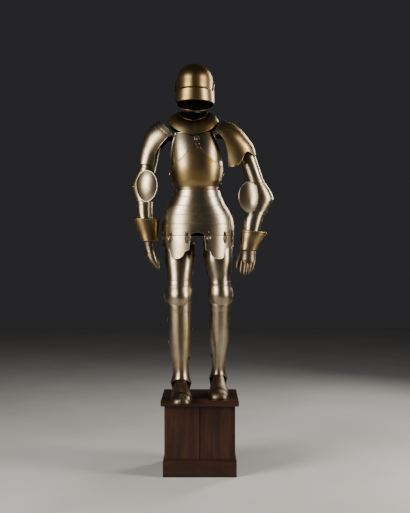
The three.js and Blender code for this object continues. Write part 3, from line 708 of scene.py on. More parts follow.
def hinge(shell, form, angle, place, lift, leaf=13.0, tall=15.0):
    """Two riveted leaves on a pin."""
    per_degree = scales_at(form, angle, place, 0.5)[0]
    reach = leaf / per_degree
    for side in (-1, 1):
        edges = sorted((angle + side * 0.25, angle + side * reach))
        Wall(form, *edges, place - tall / 2, place + tall / 2, 4, 4, lift, 1.2).into(shell)
        dome(shell, frame_at(form, angle + side * reach * 0.62, place, lift + 1.2), 2.0, 1.2)
    t = np.linspace(-0.5, 0.5, 9)
    normal = normals_of(form, np.full(9, float(angle)), place + t * tall, 1, 0.5)
    path = form(np.full(9, float(angle)), place + t * (tall + 2)) + normal * (lift + 0.9)
    bead(shell, (path, normal, False), 2.0)


def rivets(shell, form, spots, lift, radius=None, hand=1, step=0.5):
    """Domed heads at spots (angle, place)."""
    for angle, place in spots:
        dome(shell, frame_at(form, angle, place, lift, hand, step), radius or size("rivet"))


def tube(shell, path, radii, sides=14, flat=1.0, up=(0, -1, 0)):
    """A closed tapering tube along a path, flattened along its second direction."""
    path, radii = np.asarray(path, float), np.asarray(radii, float)
    tangent = np.gradient(path, axis=0)
    tangent /= np.linalg.norm(tangent, axis=1, keepdims=True)
    side = np.cross(tangent, np.asarray(up, float))
    side /= np.linalg.norm(side, axis=1, keepdims=True)
    top = np.cross(side, tangent)
    turn = 2 * pi * np.arange(sides) / sides
    ring = path[:, None] + radii[:, None, None] * (
        np.cos(turn)[None, :, None] * side[:, None] + flat * np.sin(turn)[None, :, None] * top[:, None])
    index = np.arange(len(path) * sides).reshape(len(path), sides)
    quads = np.stack((index[:-1], np.roll(index, -1, 1)[:-1], np.roll(index, -1, 1)[1:], index[1:]), -1)
    faces = [tuple(face) for face in quads.reshape(-1, 4)]
    faces += [tuple(index[0, ::-1]), tuple(index[-1])]
    shell.add(ring, faces)


# ------------------------------------------------------------------ helmet

SECTION = "z x y half front back power ridge"
HELMET = {"x": -28, "turn": -4, "spring": 2035, "crown": 2127, "reach": 96, "pivot": 2015}
SKULL = table(SECTION,
              (1905, 0, 8, 101, 122, 146, 2.2, 0), (1930, 0, 5, 98, 123, 128, 2.2, 2),
              (1965, 0, 2, 96, 123, 113, 2.2, 3), (2000, 0, 0, 95, 121, 107, 2.1, 4),
              (2035, 0, 0, 94, 117, 105, 2.1, 5))
SKULL_RIM = table("at z", (0, 1988), (40, 1987), (56, 1970), (70, 1935), (90, 1924), (140, 1914), (180, 1908))
VISOR_TOP = table("at z", (0, 1981), (45, 1978), (68, 1977), (78, 1998), (86, 2031), (97, 2031))
VISOR_LOW = table("at z", (0, 1924), (45, 1920), (75, 1921), (86, 1960), (97, 1996))


def build_helmet():
    form = dome_form(SKULL, HELMET["spring"], HELMET["crown"], HELMET["x"], HELMET["turn"])
    wall = size("wall")
    shell = Shell()
    skull = Wall(form, -180, 180, even_edge(SKULL_RIM), HELMET["crown"], 144, 44, 0, wall,
                 pole=True).into(shell)
    rims(shell, skull, size("rim"), "low")
    rivets(shell, form, [(side * angle, 1996) for side in (-1, 1) for angle in (112, 134, 156, 176)], wall)
    add_piece("sallet_skull_fine", shell, "patina", nodes=("sallet_skull",))

    shell = Shell()
    lift, reach = LAYER + 1, HELMET["reach"]
    visor = Wall(form, -reach, reach, even_edge(VISOR_LOW), even_edge(VISOR_TOP), 128, 18, lift,
                 wall).into(shell)
    rims(shell, visor, 1.7, "low")
    rims(shell, visor, 1.3, "high", "start", "end")
    for side in (-90, 90):
        spot = frame_at(form, side, HELMET["pivot"], lift + wall)
        dome(shell, spot, 9, 2.4, 24, 4)
        dome(shell, spot, 4.2, 4.6, 16, 4)
    add_piece("sallet_visor_fine", shell, "patina", "visor", ("sallet_visor",))


# ------------------------------------------------------------------ torso

CHEST = table(SECTION,
              (1440, -15, 0, 106, 104, 80, 2.3, 0), (1477, -16, 0, 106, 104, 80, 2.3, 0),
              (1512, -17, 0, 121, 118, 92, 2.3, 0), (1576, -18, 0, 134, 132, 108, 2.3, 0),
              (1640, -22, 0, 137, 128, 116, 2.3, 0), (1700, -25, 0, 134, 114, 118, 2.3, 0),
              (1750, -28, 0, 126, 97, 110, 2.3, 0), (1800, -33, 0, 110, 78, 96, 2.3, 0))
ARMHOLE = table("at z", (1450, 86), (1585, 86), (1635, 66), (1695, 60), (1775, 54))
PLACKART_TOP = table("at z",
                     (0, 1717), (6, 1700), (15, 1664), (24, 1636), (35, 1612), (53, 1592), (84, 1572))
PLACKART_LOW = table("at z", (0, 1461), (50, 1465), (84, 1478))
GORGET = {"x": -35, "half": 133, "depth": 112, "neck_half": 73, "neck_depth": 70, "swell": 8}
GORGET_LOW = table("at z", (0, 1742), (30, 1758), (60, 1792), (90, 1826), (130, 1780), (180, 1750))
GORGET_NECK = table("at z", (0, 1818), (50, 1840), (90, 1874), (180, 1890))
BREAST_STRAP = {"at": 6, "low": 1656, "high": 1738, "width": 15}


def gorget_form(angle, way):
    """Neck form: way 0 at the lower edge to 1 at the neck opening."""
    sine, cosine = np.sin(np.radians(angle)), np.cos(np.radians(angle))
    base = oval(sine, cosine, GORGET["half"], GORGET["depth"], 2.2)
    neck = oval(sine, cosine, GORGET["neck_half"], GORGET["neck_depth"], 2)
    swell = GORGET["swell"] * np.sin(pi * way)
    reach = mix(base, neck, way) + swell
    z = mix(even_edge(GORGET_LOW)(angle), even_edge(GORGET_NECK)(angle), way) + swell
    return points_at(GORGET["x"] + sine * reach, -cosine * reach, z)


def build_gorget():
    wall = size("wall")
    sweep = {"hand": 1, "step": 0.01}
    for name, start in (("front", -90), ("back", 90)):
        shell = Shell()
        plate = Wall(gorget_form, start + SEAM, start + 180 - SEAM, 0, 1, 96, 22, 0, wall,
                     step=0.01).into(shell)
        rims(shell, plate, 3.0, "high")
        rims(shell, plate, 1.5, "low")
        middle = start + 90
        rivets(shell, gorget_form, [(middle + a, 0.12) for a in (-72, 72)], wall, 2.6, **sweep)
        add_piece(f"gorget_{name}_fine", shell, "patina", nodes=(f"gorget_{name}",))


def build_cuirass():
    form = upright_form(CHEST)
    wall = size("wall")

    def armhole(low, high):
        return lambda v: track(ARMHOLE, "at", "z", mix(low, high, v))

    side = armhole(1530, 1757)
    shell = Shell()
    breast = Wall(form, lambda v: -side(v), side, 1530, 1757, 110, 40, 0, wall).into(shell)
    rims(shell, breast, 3.4, "start", "end")
    rims(shell, breast, 1.4, "high")
    add_piece("breastplate_fine", shell, "polished", nodes=("breastplate",))

    side_back = armhole(1450, 1775)
    shell = Shell()
    back = Wall(form, lambda v: 180 - side_back(v), lambda v: 180 + side_back(v), 1450, 1775, 110, 48,
                lambda v, a: -2.5 * np.exp(-((a - 180) / 9) ** 2), wall).into(shell)
    rims(shell, back, 2.2, "start", "end", "high", "low")
    add_piece("backplate_fine", shell, "polished", nodes=("backplate",))

    shell = Shell()
    plackart = Wall(form, -84, 84, even_edge(PLACKART_LOW), even_edge(PLACKART_TOP), 144, 44,
                    LAYER + 0.5, wall).into(shell)
    rims(shell, plackart, 1.7, "high", "low", "start", "end")
    rivets(shell, form, [(a, 1500) for a in (-78, 78)], LAYER + 0.5 + wall)
    rivets(shell, form, [(a, 1552) for a in (-78, 78)], LAYER + 0.5 + wall)
    add_piece("plackart_fine", shell, "patina", nodes=("plackart",))


def build_cuirass_straps():
    """The strap that holds the plackart to the breastplate, and the straps that close the sides."""
    form = upright_form(CHEST)
    at, low, high, width = (BREAST_STRAP[key] for key in ("at", "low", "high", "width"))
    over = LAYER + 0.5 + size("wall") + 0.6
    shell = Shell()
    strap(shell, form, at, low, high, width, over)
    strap(shell, form, at - 1, 1700, 1742, width, over - 4.4)
    add_piece("breast_strap_fine", shell, "leather", nodes=("breast_strap",))
    shell = Shell()
    buckle(shell, form, at - 0.6, 1722, width + 7, 25, over + 3.4)
    loop_on(shell, form, at, 1692, width + 3, 8, over + 2.4, 1.2)
    rivets(shell, form, [(at, 1672)], over + 2.2, 2.2)
    add_piece("breast_buckle", shell, "polished")
    straps, fittings = Shell(), Shell()
    for hand in (-1, 1):
        for place in (1496, 1548):
            ends = sorted((hand * 80, hand * 104))
            band(straps, form, place, *ends, size("strap"), over)
            buckle(fittings, form, hand * 92, place, 19, size("strap") + 6, over + 3.4)
            rivets(fittings, form, [(hand * 101, place)], over + 2.2, 2.4)
    add_piece("side_straps", straps, "leather")
    add_piece("side_buckles", fittings, "brass")


# ------------------------------------------------------------------ skirt

SKIRT = table(SECTION,
              (1475, -16, 0, 110, 108, 84, 2.1, 0), (1420, -16, 0, 129, 117, 102, 2.1, 0),
              (1374, -16, 0, 153, 126, 122, 2.1, 0), (1345, -14, 0, 169, 132, 132, 2.1, 0),
              (1300, -11, 0, 182, 141, 140, 2.1, 0), (1225, -11, 0, 188, 150, 146, 2.1, 0),
              (1150, -12, 0, 188, 152, 148, 2.1, 0), (1090, -12, 0, 187, 152, 148, 2.1, 0))
FAULD_ARCH = table("at z", (0, 1239), (4, 1238), (8, 1235), (11, 1230), (13.5, 1226), (20, 1226), (88, 1226))
FAULD = ((1410, 1459), (1365, 1420), (1319, 1375), (1271, 1329), (even_edge(FAULD_ARCH), 1281))
CULET = ((1373, 1444), (1300, 1383), (1226, 1310))
TASSET = {"top": 1223, "inner_top": 13.5, "inner_low": 16, "outer": 80}
TASSET_LOW = table("at z",
                   (12, 1149), (23, 1142), (28, 1118), (34, 1107), (40, 1104), (46, 1105), (50, 1112),
                   (54, 1146), (62, 1163), (80, 1172))
TASSET_STRAPS = table("at width", (21, 13), (53, 14), (72, 12))
TASSET_STRAP = {"low": 1184, "high": 1243, "buckle": 1209, "rivet": 1240, "hinge": 1224.5}


def build_skirt():
    form = upright_form(SKIRT)
    wall = size("wall")

    def lames(name, rows, start, end, spots):
        for i, (low, high) in enumerate(rows, 1):
            shell = Shell()
            lame = Wall(form, start, end, low, high, 128, 8, lambda v, a: LAYER * v, wall).into(shell)
            rims(shell, lame, 1.15, "high")
            rims(shell, lame, 1.0, "low", "start", "end")
            rivets(shell, form, [(a, high - 7) for a in spots], LAYER * 0.86 + wall, 2.6)
            add_piece(f"{name}_{i}_fine", shell, "polished", nodes=(f"{name}_{i}",))

    lames("fauld_lame", FAULD, -88, 88, (-84, -62, 62, 84))
    lames("culet_lame", CULET, 92, 268, (96, 264))


def tasset_strap_lift(v, angle):
    """Height of a strap over the skirt: it lies on the tasset below and on the lowest lame above."""
    place = mix(TASSET_STRAP["low"], TASSET_STRAP["high"], v)
    return size("wall") + 0.6 + LAYER * np.clip((place - 1226) / 55, 0, 1)


def build_tassets():
    form = upright_form(SKIRT)
    wall = size("wall")
    for name, hand in SIDES:
        body = "tasset_" + name
        start, end = ((lambda v: mix(TASSET["inner_low"], TASSET["inner_top"], v)), TASSET["outer"])
        if hand < 0:
            start, end = -end, (lambda v: -mix(TASSET["inner_low"], TASSET["inner_top"], v))
        shell = Shell()
        plate = Wall(form, start, end, even_edge(TASSET_LOW), TASSET["top"], 132, 22, 0, wall).into(shell)
        rims(shell, plate, 1.3, "high", "start", "end")
        rims(shell, plate, 1.5, "low")
        add_piece(f"tasset_{name}_fine", shell, "polished", body, (body,))


def build_tasset_straps():
    form = upright_form(SKIRT)
    for name, hand in SIDES:
        body = "tasset_" + name
        fittings, heads = Shell(), Shell()
        low, high = TASSET_STRAP["low"], TASSET_STRAP["high"]
        turn_at = TASSET_STRAP["hinge"]
        for key, at, width in zip(("inner", "middle", "outer"), TASSET_STRAPS["at"], TASSET_STRAPS["width"]):
            shell = Shell()
            strap(shell, form, hand * at, low, high, width, tasset_strap_lift)
            piece = add_piece(f"tasset_strap_{key}_{name}_fine", shell, "leather", None,
                              (f"tasset_strap_{key}_{name}",), slack=0.036)
            x, y, _ = (float(c) for c in form(np.array(hand * at), np.array(turn_at)) * MM)
            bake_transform(piece)
            buckle(fittings, form, hand * at, TASSET_STRAP["buckle"], width + 5, 17, size("wall") + 3.8)
            rivets(fittings, form, [(hand * at, low + 8)], size("wall") + 2.7, 2.4)
            lift = float(tasset_strap_lift(1, 0)) + 2.1
            rivets(heads, form, [(hand * at, TASSET_STRAP["rivet"])], lift, 3.8)
        add_piece(f"tasset_buckles_{name}", fittings, "polished", body)
        add_piece(f"tasset_strap_rivets_{name}", heads, "polished")


# ------------------------------------------------------------------ arms

SHOULDER = "step x y z tilt rise fore aft"
ARMS = {
    "right": {
        "shoulder": table(SHOULDER,
                          (0, 137, 0, 1745, 48, 113, 76, 80), (1, 165, 0, 1735, 40, 106, 80, 84),
                          (2, 195, 0, 1715, 27, 97, 76, 80), (3, 225, 0, 1690, 14, 78, 68, 72),
                          (4, 250, 0, 1655, 9, 64, 60, 62), (5, 266, 0, 1612, 8, 56, 56, 56),
                          (6, 272, 0, 1580, 8, 53, 54, 54)),
        "upper": (0, 0.95, -92, 92),
        "main": (0.8, table("at z", (-100, 5.2), (0, 5.4), (60, 5.6), (100, 5.4)), (-85, -118), (88, 118)),
        "form": table(SECTION,
                      (1700, -252, 0, 44, 44, 44, 2, 0), (1624, -267, 0, 44, 44, 44, 2, 0),
                      (1540, -282, 0, 42, 42, 42, 2, 0), (1482, -292, 0, 44, 42, 48, 2, 0),
                      (1408, -291, -6, 41, 41, 44, 2, 0), (1340, -289, -14, 38, 38, 38, 2, 0),
                      (1260, -275, -22, 33, 33, 33, 2, 0), (1197, -263, -28, 33, 33, 33, 2, 0)),
        "elbow": table(SECTION,
                       (1560, -282, 0, 50, 50, 52, 2, 0), (1520, -289, 0, 60, 55, 62, 2, 0),
                       (1482, -293, 0, 65, 58, 72, 2, 0), (1440, -293, -2, 59, 56, 62, 2, 0),
                       (1405, -291, -6, 50, 51, 53, 2, 0)),
        "fan": {"place": (-276, -70, 1483), "turn": -24, "half": 61, "above": 78, "below": 76, "depth": 16,
                "point": 6},
        "upper_cannon": (1556, 1690),
        "lower_cannon": (1292, 1402),
        "cuff": table(SECTION,
                      (1322, -285, -16, 69, 62, 62, 2.1, 0), (1290, -280, -18, 62, 56, 56, 2.1, 0),
                      (1240, -270, -23, 50, 46, 46, 2.1, 0), (1197, -263, -28, 42, 40, 40, 2.1, 0)),
        "cuff_edge": (1199, 1310, 0),
        "hand": table(SECTION,
                      (1200, -262, -28, 35, 33, 33, 2, 0), (1160, -259, -34, 30, 42, 40, 2, 0),
                      (1120, -249, -40, 26, 44, 40, 2, 0), (1085, -229, -46, 22, 40, 36, 2, 0),
                      (1060, -206, -50, 17, 32, 30, 2, 0), (1048, -198, -52, 9, 19, 19, 2, 0)),
        "palm": (-195, 20, 1116, 1192),
        "finger": 12.5,
        "fingers": (((-262, -74, 1128), (-246, -82, 1100), (-224, -84, 1072), (-206, -82, 1054)),
                    ((-266, -52, 1126), (-250, -56, 1096), (-226, -58, 1068), (-206, -58, 1052)),
                    ((-264, -29, 1128), (-248, -32, 1098), (-226, -34, 1072), (-206, -34, 1056)),
                    ((-258, -9, 1134), (-242, -12, 1108), (-224, -13, 1086), (-208, -14, 1070))),
        "thumb": ((-240, -66, 1150), (-232, -78, 1124), (-224, -84, 1100), (-212, -88, 1068)),
    },
    "left": {
        "shoulder": table(SHOULDER,
                          (0, 83, 0, 1755, 64, 87, 92, 84), (1, 118, 0, 1745, 50, 84, 100, 88),
                          (2, 150, 0, 1720, 36, 86, 102, 86), (3, 172, 0, 1692, 26, 88, 98, 78),
                          (4, 190, 0, 1665, 22, 90, 92, 72), (5, 203, 0, 1632, 20, 88, 86, 66),
                          (6, 214, 0, 1596, 18, 84, 80, 60)),
        "upper": (0, 0.9, -92, 94),
        "main": (0.75, table("at z", (-118, 4.8), (-40, 5.2), (30, 5.3), (62, 4.7), (96, 5.9), (118, 6),
                             (140, 5.6)), (-85, -118), (92, 138)),
        "form": table(SECTION,
                      (1700, 228, 0, 42, 42, 42, 2, 0), (1622, 254, 0, 43, 43, 43, 2, 0),
                      (1507, 293, 0, 42, 42, 42, 2, 0), (1420, 314, 0, 44, 42, 48, 2, 0),
                      (1360, 297, -6, 46, 43, 45, 2, 0), (1307, 279, -12, 47, 43, 43, 2, 0),
                      (1230, 267, -18, 38, 35, 35, 2, 0), (1150, 254, -24, 33, 31, 31, 2, 0)),
        "elbow": table(SECTION,
                       (1500, 294, 0, 50, 50, 52, 2, 0), (1460, 307, 0, 60, 55, 62, 2, 0),
                       (1420, 316, 0, 65, 58, 72, 2, 0), (1385, 309, -2, 60, 56, 62, 2, 0),
                       (1350, 296, -6, 54, 53, 54, 2, 0)),
        "fan": {"place": (256, -70, 1425), "turn": 24, "half": 60, "above": 77, "below": 74, "depth": 16,
                "point": 6},
        "upper_cannon": (1500, 1690),
        "lower_cannon": (1225, 1344),
        "cuff": table(SECTION,
                      (1262, 286, -14, 72, 64, 64, 2.1, 0), (1225, 277, -18, 63, 57, 57, 2.1, 0),
                      (1185, 263, -22, 50, 46, 46, 2.1, 0), (1150, 254, -26, 43, 40, 40, 2.1, 0)),
        "cuff_edge": (1152, 1247, -9),
        "hand": table(SECTION,
                      (1153, 254, -26, 36, 33, 33, 2, 0), (1115, 251, -32, 38, 36, 34, 2, 0),
                      (1075, 247, -38, 37, 34, 30, 2, 0), (1040, 241, -44, 32, 28, 24, 2, 0),
                      (1016, 234, -48, 17, 13, 12, 2, 0)),
        "palm": (-75, 140, 1084, 1145),
        "finger": 12,
        "fingers": (((222, -62, 1092), (218, -68, 1066), (215, -70, 1042), (216, -66, 1026)),
                    ((242, -67, 1090), (237, -73, 1060), (233, -74, 1034), (231, -68, 1019)),
                    ((262, -62, 1092), (257, -68, 1064), (252, -68, 1040), (247, -63, 1024)),
                    ((279, -50, 1098), (274, -56, 1074), (268, -57, 1052), (261, -54, 1036))),
        "thumb": ((218, -38, 1140), (207, -47, 1112), (198, -54, 1085), (193, -60, 1050)),
    },
}
ELBOW = {"reach": 112, "margin": 2}


def build_shoulders():
    wall = size("wall")
    for name, hand in SIDES:
        arm = ARMS[name]
        form = shoulder_form(arm["shoulder"], hand)
        sweep = {"hand": hand, "step": 0.01}
        low, high, start, end = arm["upper"]
        count, overlap = 4, 0.1
        shell = Shell()
        for i in range(count):
            foot = mix(low, high, i / count)
            top = min(mix(low, high, (i + 1) / count) + overlap, high)
            lame = Wall(form, start, end, foot, top, 72, 6, lambda v, a: 2.0 * (1 - v), wall,
                        **sweep).into(shell)
            rims(shell, lame, 1.0, "low")
        rivets(shell, form, [(a, mix(low, high, (i + 0.45) / count)) for i in range(count) for a in (-84,
                                                                                                     84)],
               wall + 1, 2.2, **sweep)
        add_piece(f"spaudler_upper_{name}_fine", shell, "polished", nodes=("spaudler_upper_" + name,))

        low, edge, starts, ends = arm["main"]
        shell = Shell()
        main = Wall(form, lambda v: mix(*starts, v), lambda v: mix(*ends, v), low,
                    lambda a: track(edge, "at", "z", a), 120, 56, LAYER, wall, **sweep).into(shell)
        rims(shell, main, 1.7, "high", "start", "end")
        rims(shell, main, 1.3, "low")
        rivets(shell, form, [(a, low + 0.28) for a in (-70, -36, 0, 36, 72)], LAYER + wall, 3.0, **sweep)
        rivets(shell, form, [(62, 4.3), (-62, 4.3)], LAYER + wall, 3.4, **sweep)
        add_piece(f"spaudler_main_{name}_fine", shell, "patina" if name == "left" else "polished",
                  nodes=("spaudler_main_" + name,))


def build_cannons():
    wall = size("wall")
    for name, hand in SIDES:
        arm = ARMS[name]
        form = upright_form(arm["form"])
        for part in ("upper_cannon", "lower_cannon"):
            low, high = arm[part]
            shell = Shell()
            cannon = Wall(form, -180, 180, low, high, 80, 20, 0, wall).into(shell)
            rims(shell, cannon, 1.7, "low", "high")
            outward = hand * 100
            for share in (0.25, 0.75):
                hinge(shell, form, outward, mix(low, high, share), wall)
            add_piece(f"{part}_{name}_fine", shell, "polished", nodes=(f"{part}_{name}",))


def build_couters():
    wall = size("wall")
    for name, hand in SIDES:
        arm = ARMS[name]
        rows = arm["elbow"]
        form = upright_form(rows)
        outward, reach, margin = hand * 90, ELBOW["reach"], ELBOW["margin"]
        low, high = rows["z"][-1] + margin, rows["z"][0] - margin

        def crease(v, a):
            return 3.2 * np.sin(pi * v) * np.clip(1 - np.abs(wrap(a - outward)) / 50, 0, 1)

        shell = Shell()
        cup = Wall(form, outward - reach, outward + reach, low, high, 110, 32, crease, wall).into(shell)
        rims(shell, cup, 1.7, "low", "high", "start", "end")
        limb = upright_form(arm["form"])
        lames = Shell()
        for foot, top in ((high - 14, high + 20), (low - 18, low + 14)):
            lame = Wall(limb, outward - 106, outward + 106, foot, top, 72, 6, 3, wall * 0.8).into(lames)
            rims(lames, lame, 1.1, "low", "high")
        add_piece(f"couter_lames_{name}", lames, "polished")
        face = dish_form(**arm["fan"])
        fan = Wall(face, 0, 360, 0, 1, 96, 14, 0, wall, pole=True, hand=-1, step=0.01).into(shell)
        rims(shell, fan, 1.9, "low")
        rivets(shell, form, [(hand * 62, rows["z"][2] - 2)], wall + 1.0, 4.2)
        loop_on(shell, form, hand * 62, rows["z"][2] - 2, 13, 13, wall + 1.2, 0.9, square=1.0)
        add_piece(f"couter_{name}_fine", shell, "polished", nodes=("couter_" + name,))
        shell = Shell()
        inward = -hand * 90
        band(shell, limb, rows["z"][2] + 6, inward - 64, inward + 64, 15, 5)
        add_piece(f"couter_strap_{name}", shell, "leather")


def build_cuffs():
    wall = size("wall")
    for name, hand in SIDES:
        arm = ARMS[name]
        form = upright_form(arm["cuff"])
        low, high, slant = arm["cuff_edge"]

        def rim_at(drop):
            return lambda a: high - drop + slant * np.sin(np.radians(a))

        shell = Shell()
        cuff = Wall(form, -180, 180, low, rim_at(0), 96, 26, 0, wall).into(shell)
        rims(shell, cuff, 3.2, "high")
        rims(shell, cuff, 1.7, "low")
        around = np.linspace(-180, 180, 97)
        for drop in (10, 13.5):
            place = rim_at(drop)(around)
            normal = normals_of(form, around, place, 1, 0.5)
            line = form(around, place) + normal * (wall + 0.2)
            bead(shell, (line[:-1], normal[:-1], True), 0.9)
        rivets(shell, form, [(a, low + 14) for a in range(-165, 180, 30)], wall, 2.4)
        rivets(shell, form, [(hand * 40 + a, mix(low, high, 0.55)) for a in (-22, 0, 22)], wall, 2.6)
        add_piece(f"gauntlet_cuff_{name}_fine", shell, "patina", nodes=("gauntlet_cuff_" + name,))
        shell = Shell()
        for place in (mix(low, high, 0.3), mix(low, high, 0.7)):
            hinge(shell, form, hand * 118, place, wall)
        add_piece(f"gauntlet_hinges_{name}", shell, "brass")


def finger(shell, path, radius, flat=0.8):
    """A finger of three overlapping plates."""
    path = np.asarray(path, float)
    t = np.linspace(0, 1, len(path))
    for i in range(3):
        spots = np.linspace(i / 3, min(1.0, (i + 1) / 3 + 0.08), 7)
        line = np.stack([np.interp(spots, t, path[:, k]) for k in range(3)], axis=-1)
        swell = radius * (1 - 0.12 * spots) * np.linspace(0.93, 1.06, 7)
        if i == 2:
            swell = swell * np.sqrt(np.clip(1.03 - np.linspace(0, 1, 7) ** 3, 0.05, 1))
        tube(shell, line, swell, flat=flat)


def build_hands():
    wall = size("wall")
    for name, hand in SIDES:
        arm = ARMS[name]
        form = upright_form(arm["hand"])
        start, end, low, high = arm["palm"]
        shell = Shell()
        count = 4
        for i in range(count):
            foot = mix(high, low, (i + 1) / count)
            top = min(mix(high, low, i / count) + 5, high)
            lame = Wall(form, start, end, foot, top, 64, 5, lambda v, a: 1.6 * (1 - v), wall).into(shell)
            rims(shell, lame, 1.0, "low")
        knuckle = Wall(form, start + 12, end - 12, low - 3, low + 13, 56, 6,
                       lambda v,
                       a: 2.4 + 2.2 * np.sin(pi * v) * (0.6 + 0.4 * np.cos(np.radians(a - start) * 7)),
                       wall).into(shell)
        rims(shell, knuckle, 1.0, "low", "high")
        for path in arm["fingers"]:
            finger(shell, path, arm["finger"])
        finger(shell, arm["thumb"], arm["finger"] * 0.9)
        add_piece(f"gauntlet_hand_{name}_fine", shell, "browned", nodes=("gauntlet_hand_" + name,),
                  slack=0.02)


# ------------------------------------------------------------------ legs

LEGS = {
    "right": {
        "form": table(SECTION,
                      (1195, -105, -6, 78, 80, 80, 2.2, 0), (1100, -106, -26, 74, 80, 78, 2.2, 0),
                      (1020, -107, -46, 63, 68, 66, 2.1, 1), (968, -108, -58, 57, 60, 58, 2.1, 1),
                      (915, -108, -68, 54, 56, 54, 2.1, 1), (860, -107, -70, 53, 54, 56, 2.1, 2),
                      (800, -106, -68, 57, 55, 68, 2, 3), (736, -105, -66, 58, 56, 74, 2, 3),
                      (680, -104, -66, 55, 55, 70, 2, 3), (628, -102, -68, 50, 52, 60, 2, 3),
                      (575, -100, -71, 42, 46, 48, 2, 3), (523, -98, -74, 39, 44, 42, 2, 2),
                      (490, -98, -75, 43, 50, 44, 2, 1), (465, -98, -75, 51, 58, 50, 2, 0),
                      (400, -98, -72, 46, 50, 58, 2, 0)),
        "arch": table("at z", (0, 489), (35, 482), (60, 466), (90, 461)),
        "foot": table("y x half top ridge",
                      (-300, -92, 6, 396, 0), (-294, -92, 26, 408, 2), (-277, -92, 42, 420, 3),
                      (-248, -92, 49, 430, 3), (-208, -92, 51, 444, 3), (-170, -93, 49, 460, 3),
                      (-132, -95, 46, 478, 2), (-100, -97, 43, 490, 0)),
        "bend": -230,
        "wing": (-178, -52, 912, 12),
    },
    "left": {
        "form": table(SECTION,
                      (1195, 93, 10, 76, 78, 80, 2.2, 0), (1100, 97, 4, 72, 78, 78, 2.2, 0),
                      (1040, 100, 0, 62, 70, 68, 2.1, 1), (1003, 102, -4, 54, 62, 60, 2.1, 1),
                      (920, 105, -10, 49, 54, 54, 2.1, 1), (860, 104, -6, 48, 52, 56, 2.1, 2),
                      (800, 103, 2, 50, 53, 66, 2, 3), (736, 102, 10, 51, 54, 70, 2, 3),
                      (680, 101, 18, 47, 52, 66, 2, 3), (628, 100, 26, 39, 46, 56, 2, 3),
                      (575, 98, 33, 33, 42, 46, 2, 3), (523, 97, 38, 33, 42, 40, 2, 2),
                      (495, 97, 40, 38, 48, 42, 2, 1), (473, 97, 40, 45, 56, 48, 2, 0),
                      (400, 97, 44, 42, 50, 58, 2, 0)),
        "arch": table("at z", (0, 498), (35, 491), (60, 477), (90, 471)),
        "foot": table("y x half top ridge",
                      (-168, 99, 6, 396, 0), (-162, 99, 26, 409, 2), (-147, 99, 42, 422, 3),
                      (-120, 98, 49, 434, 3), (-86, 98, 51, 450, 3), (-52, 97, 48, 468, 3),
                      (-16, 97, 43, 490, 2), (14, 97, 38, 506, 0)),
        "bend": -106,
        "wing": (165, 6, 916, -12),
    },
}
KNEE = (("knee_lame_upper", 950, 992, 0, LAYER, 0, 98), ("poleyn", 876, 966, 14, 2 * LAYER, 7, 104),
        ("knee_lame_lower", 840, 884, 10, LAYER, 0, 98))
KNEE_POINT = 45
CUISSE = {"low": 962, "high": 1190, "reach": 104, "gap": 2, "low_trim": 28, "high_trim": 20}
GREAVE = {"high": 852, "back_high": 846, "heel": 396}
WING = {"half": 30, "above": 34, "below": 34, "depth": 6}
SOLE = 388.5


def build_cuisses():
    wall = size("wall")
    reach, low, high = CUISSE["reach"], CUISSE["low"], CUISSE["high"]
    behind = reach + CUISSE["gap"]
    for name, hand in SIDES:
        form = upright_form(LEGS[name]["form"])
        shell = Shell()
        cuisse = Wall(form, -reach, reach, low, high, 104, 36, 0, wall).into(shell)
        rims(shell, cuisse, 2.4, "high")
        rims(shell, cuisse, 1.5, "low", "start", "end")
        rivets(shell, form, [(side * 96, z) for side in (-1, 1) for z in (1010, 1090, 1160)], wall, 2.6)
        add_piece(f"cuisse_{name}_fine", shell, "polished", nodes=("cuisse_" + name,))
        shell = Shell()
        back = Wall(form, behind, 360 - behind, low + CUISSE["low_trim"], high - CUISSE["high_trim"], 80, 28,
                    0,
                    wall).into(shell)
        rims(shell, back, 1.5, "low", "high", "start", "end")
        add_piece(f"cuisse_back_{name}_fine", shell, "patina", nodes=("cuisse_back_" + name,))
        leathers, metal = Shell(), Shell()
        for z in (1030, 1120):
            hinge(metal, form, hand * (reach + 1), z, wall + 0.4, tall=18)
            inner = sorted((-hand * (reach - 14), -hand * (reach + 16)))
            band(leathers, form, z, *inner, size("strap"), wall + 0.6)
            buckle(metal, form, -hand * (reach + 4), z, 18, size("strap") + 5, wall + 3.4)
        add_piece(f"cuisse_straps_{name}", leathers, "leather")
        add_piece(f"cuisse_fittings_{name}", metal, "brass")


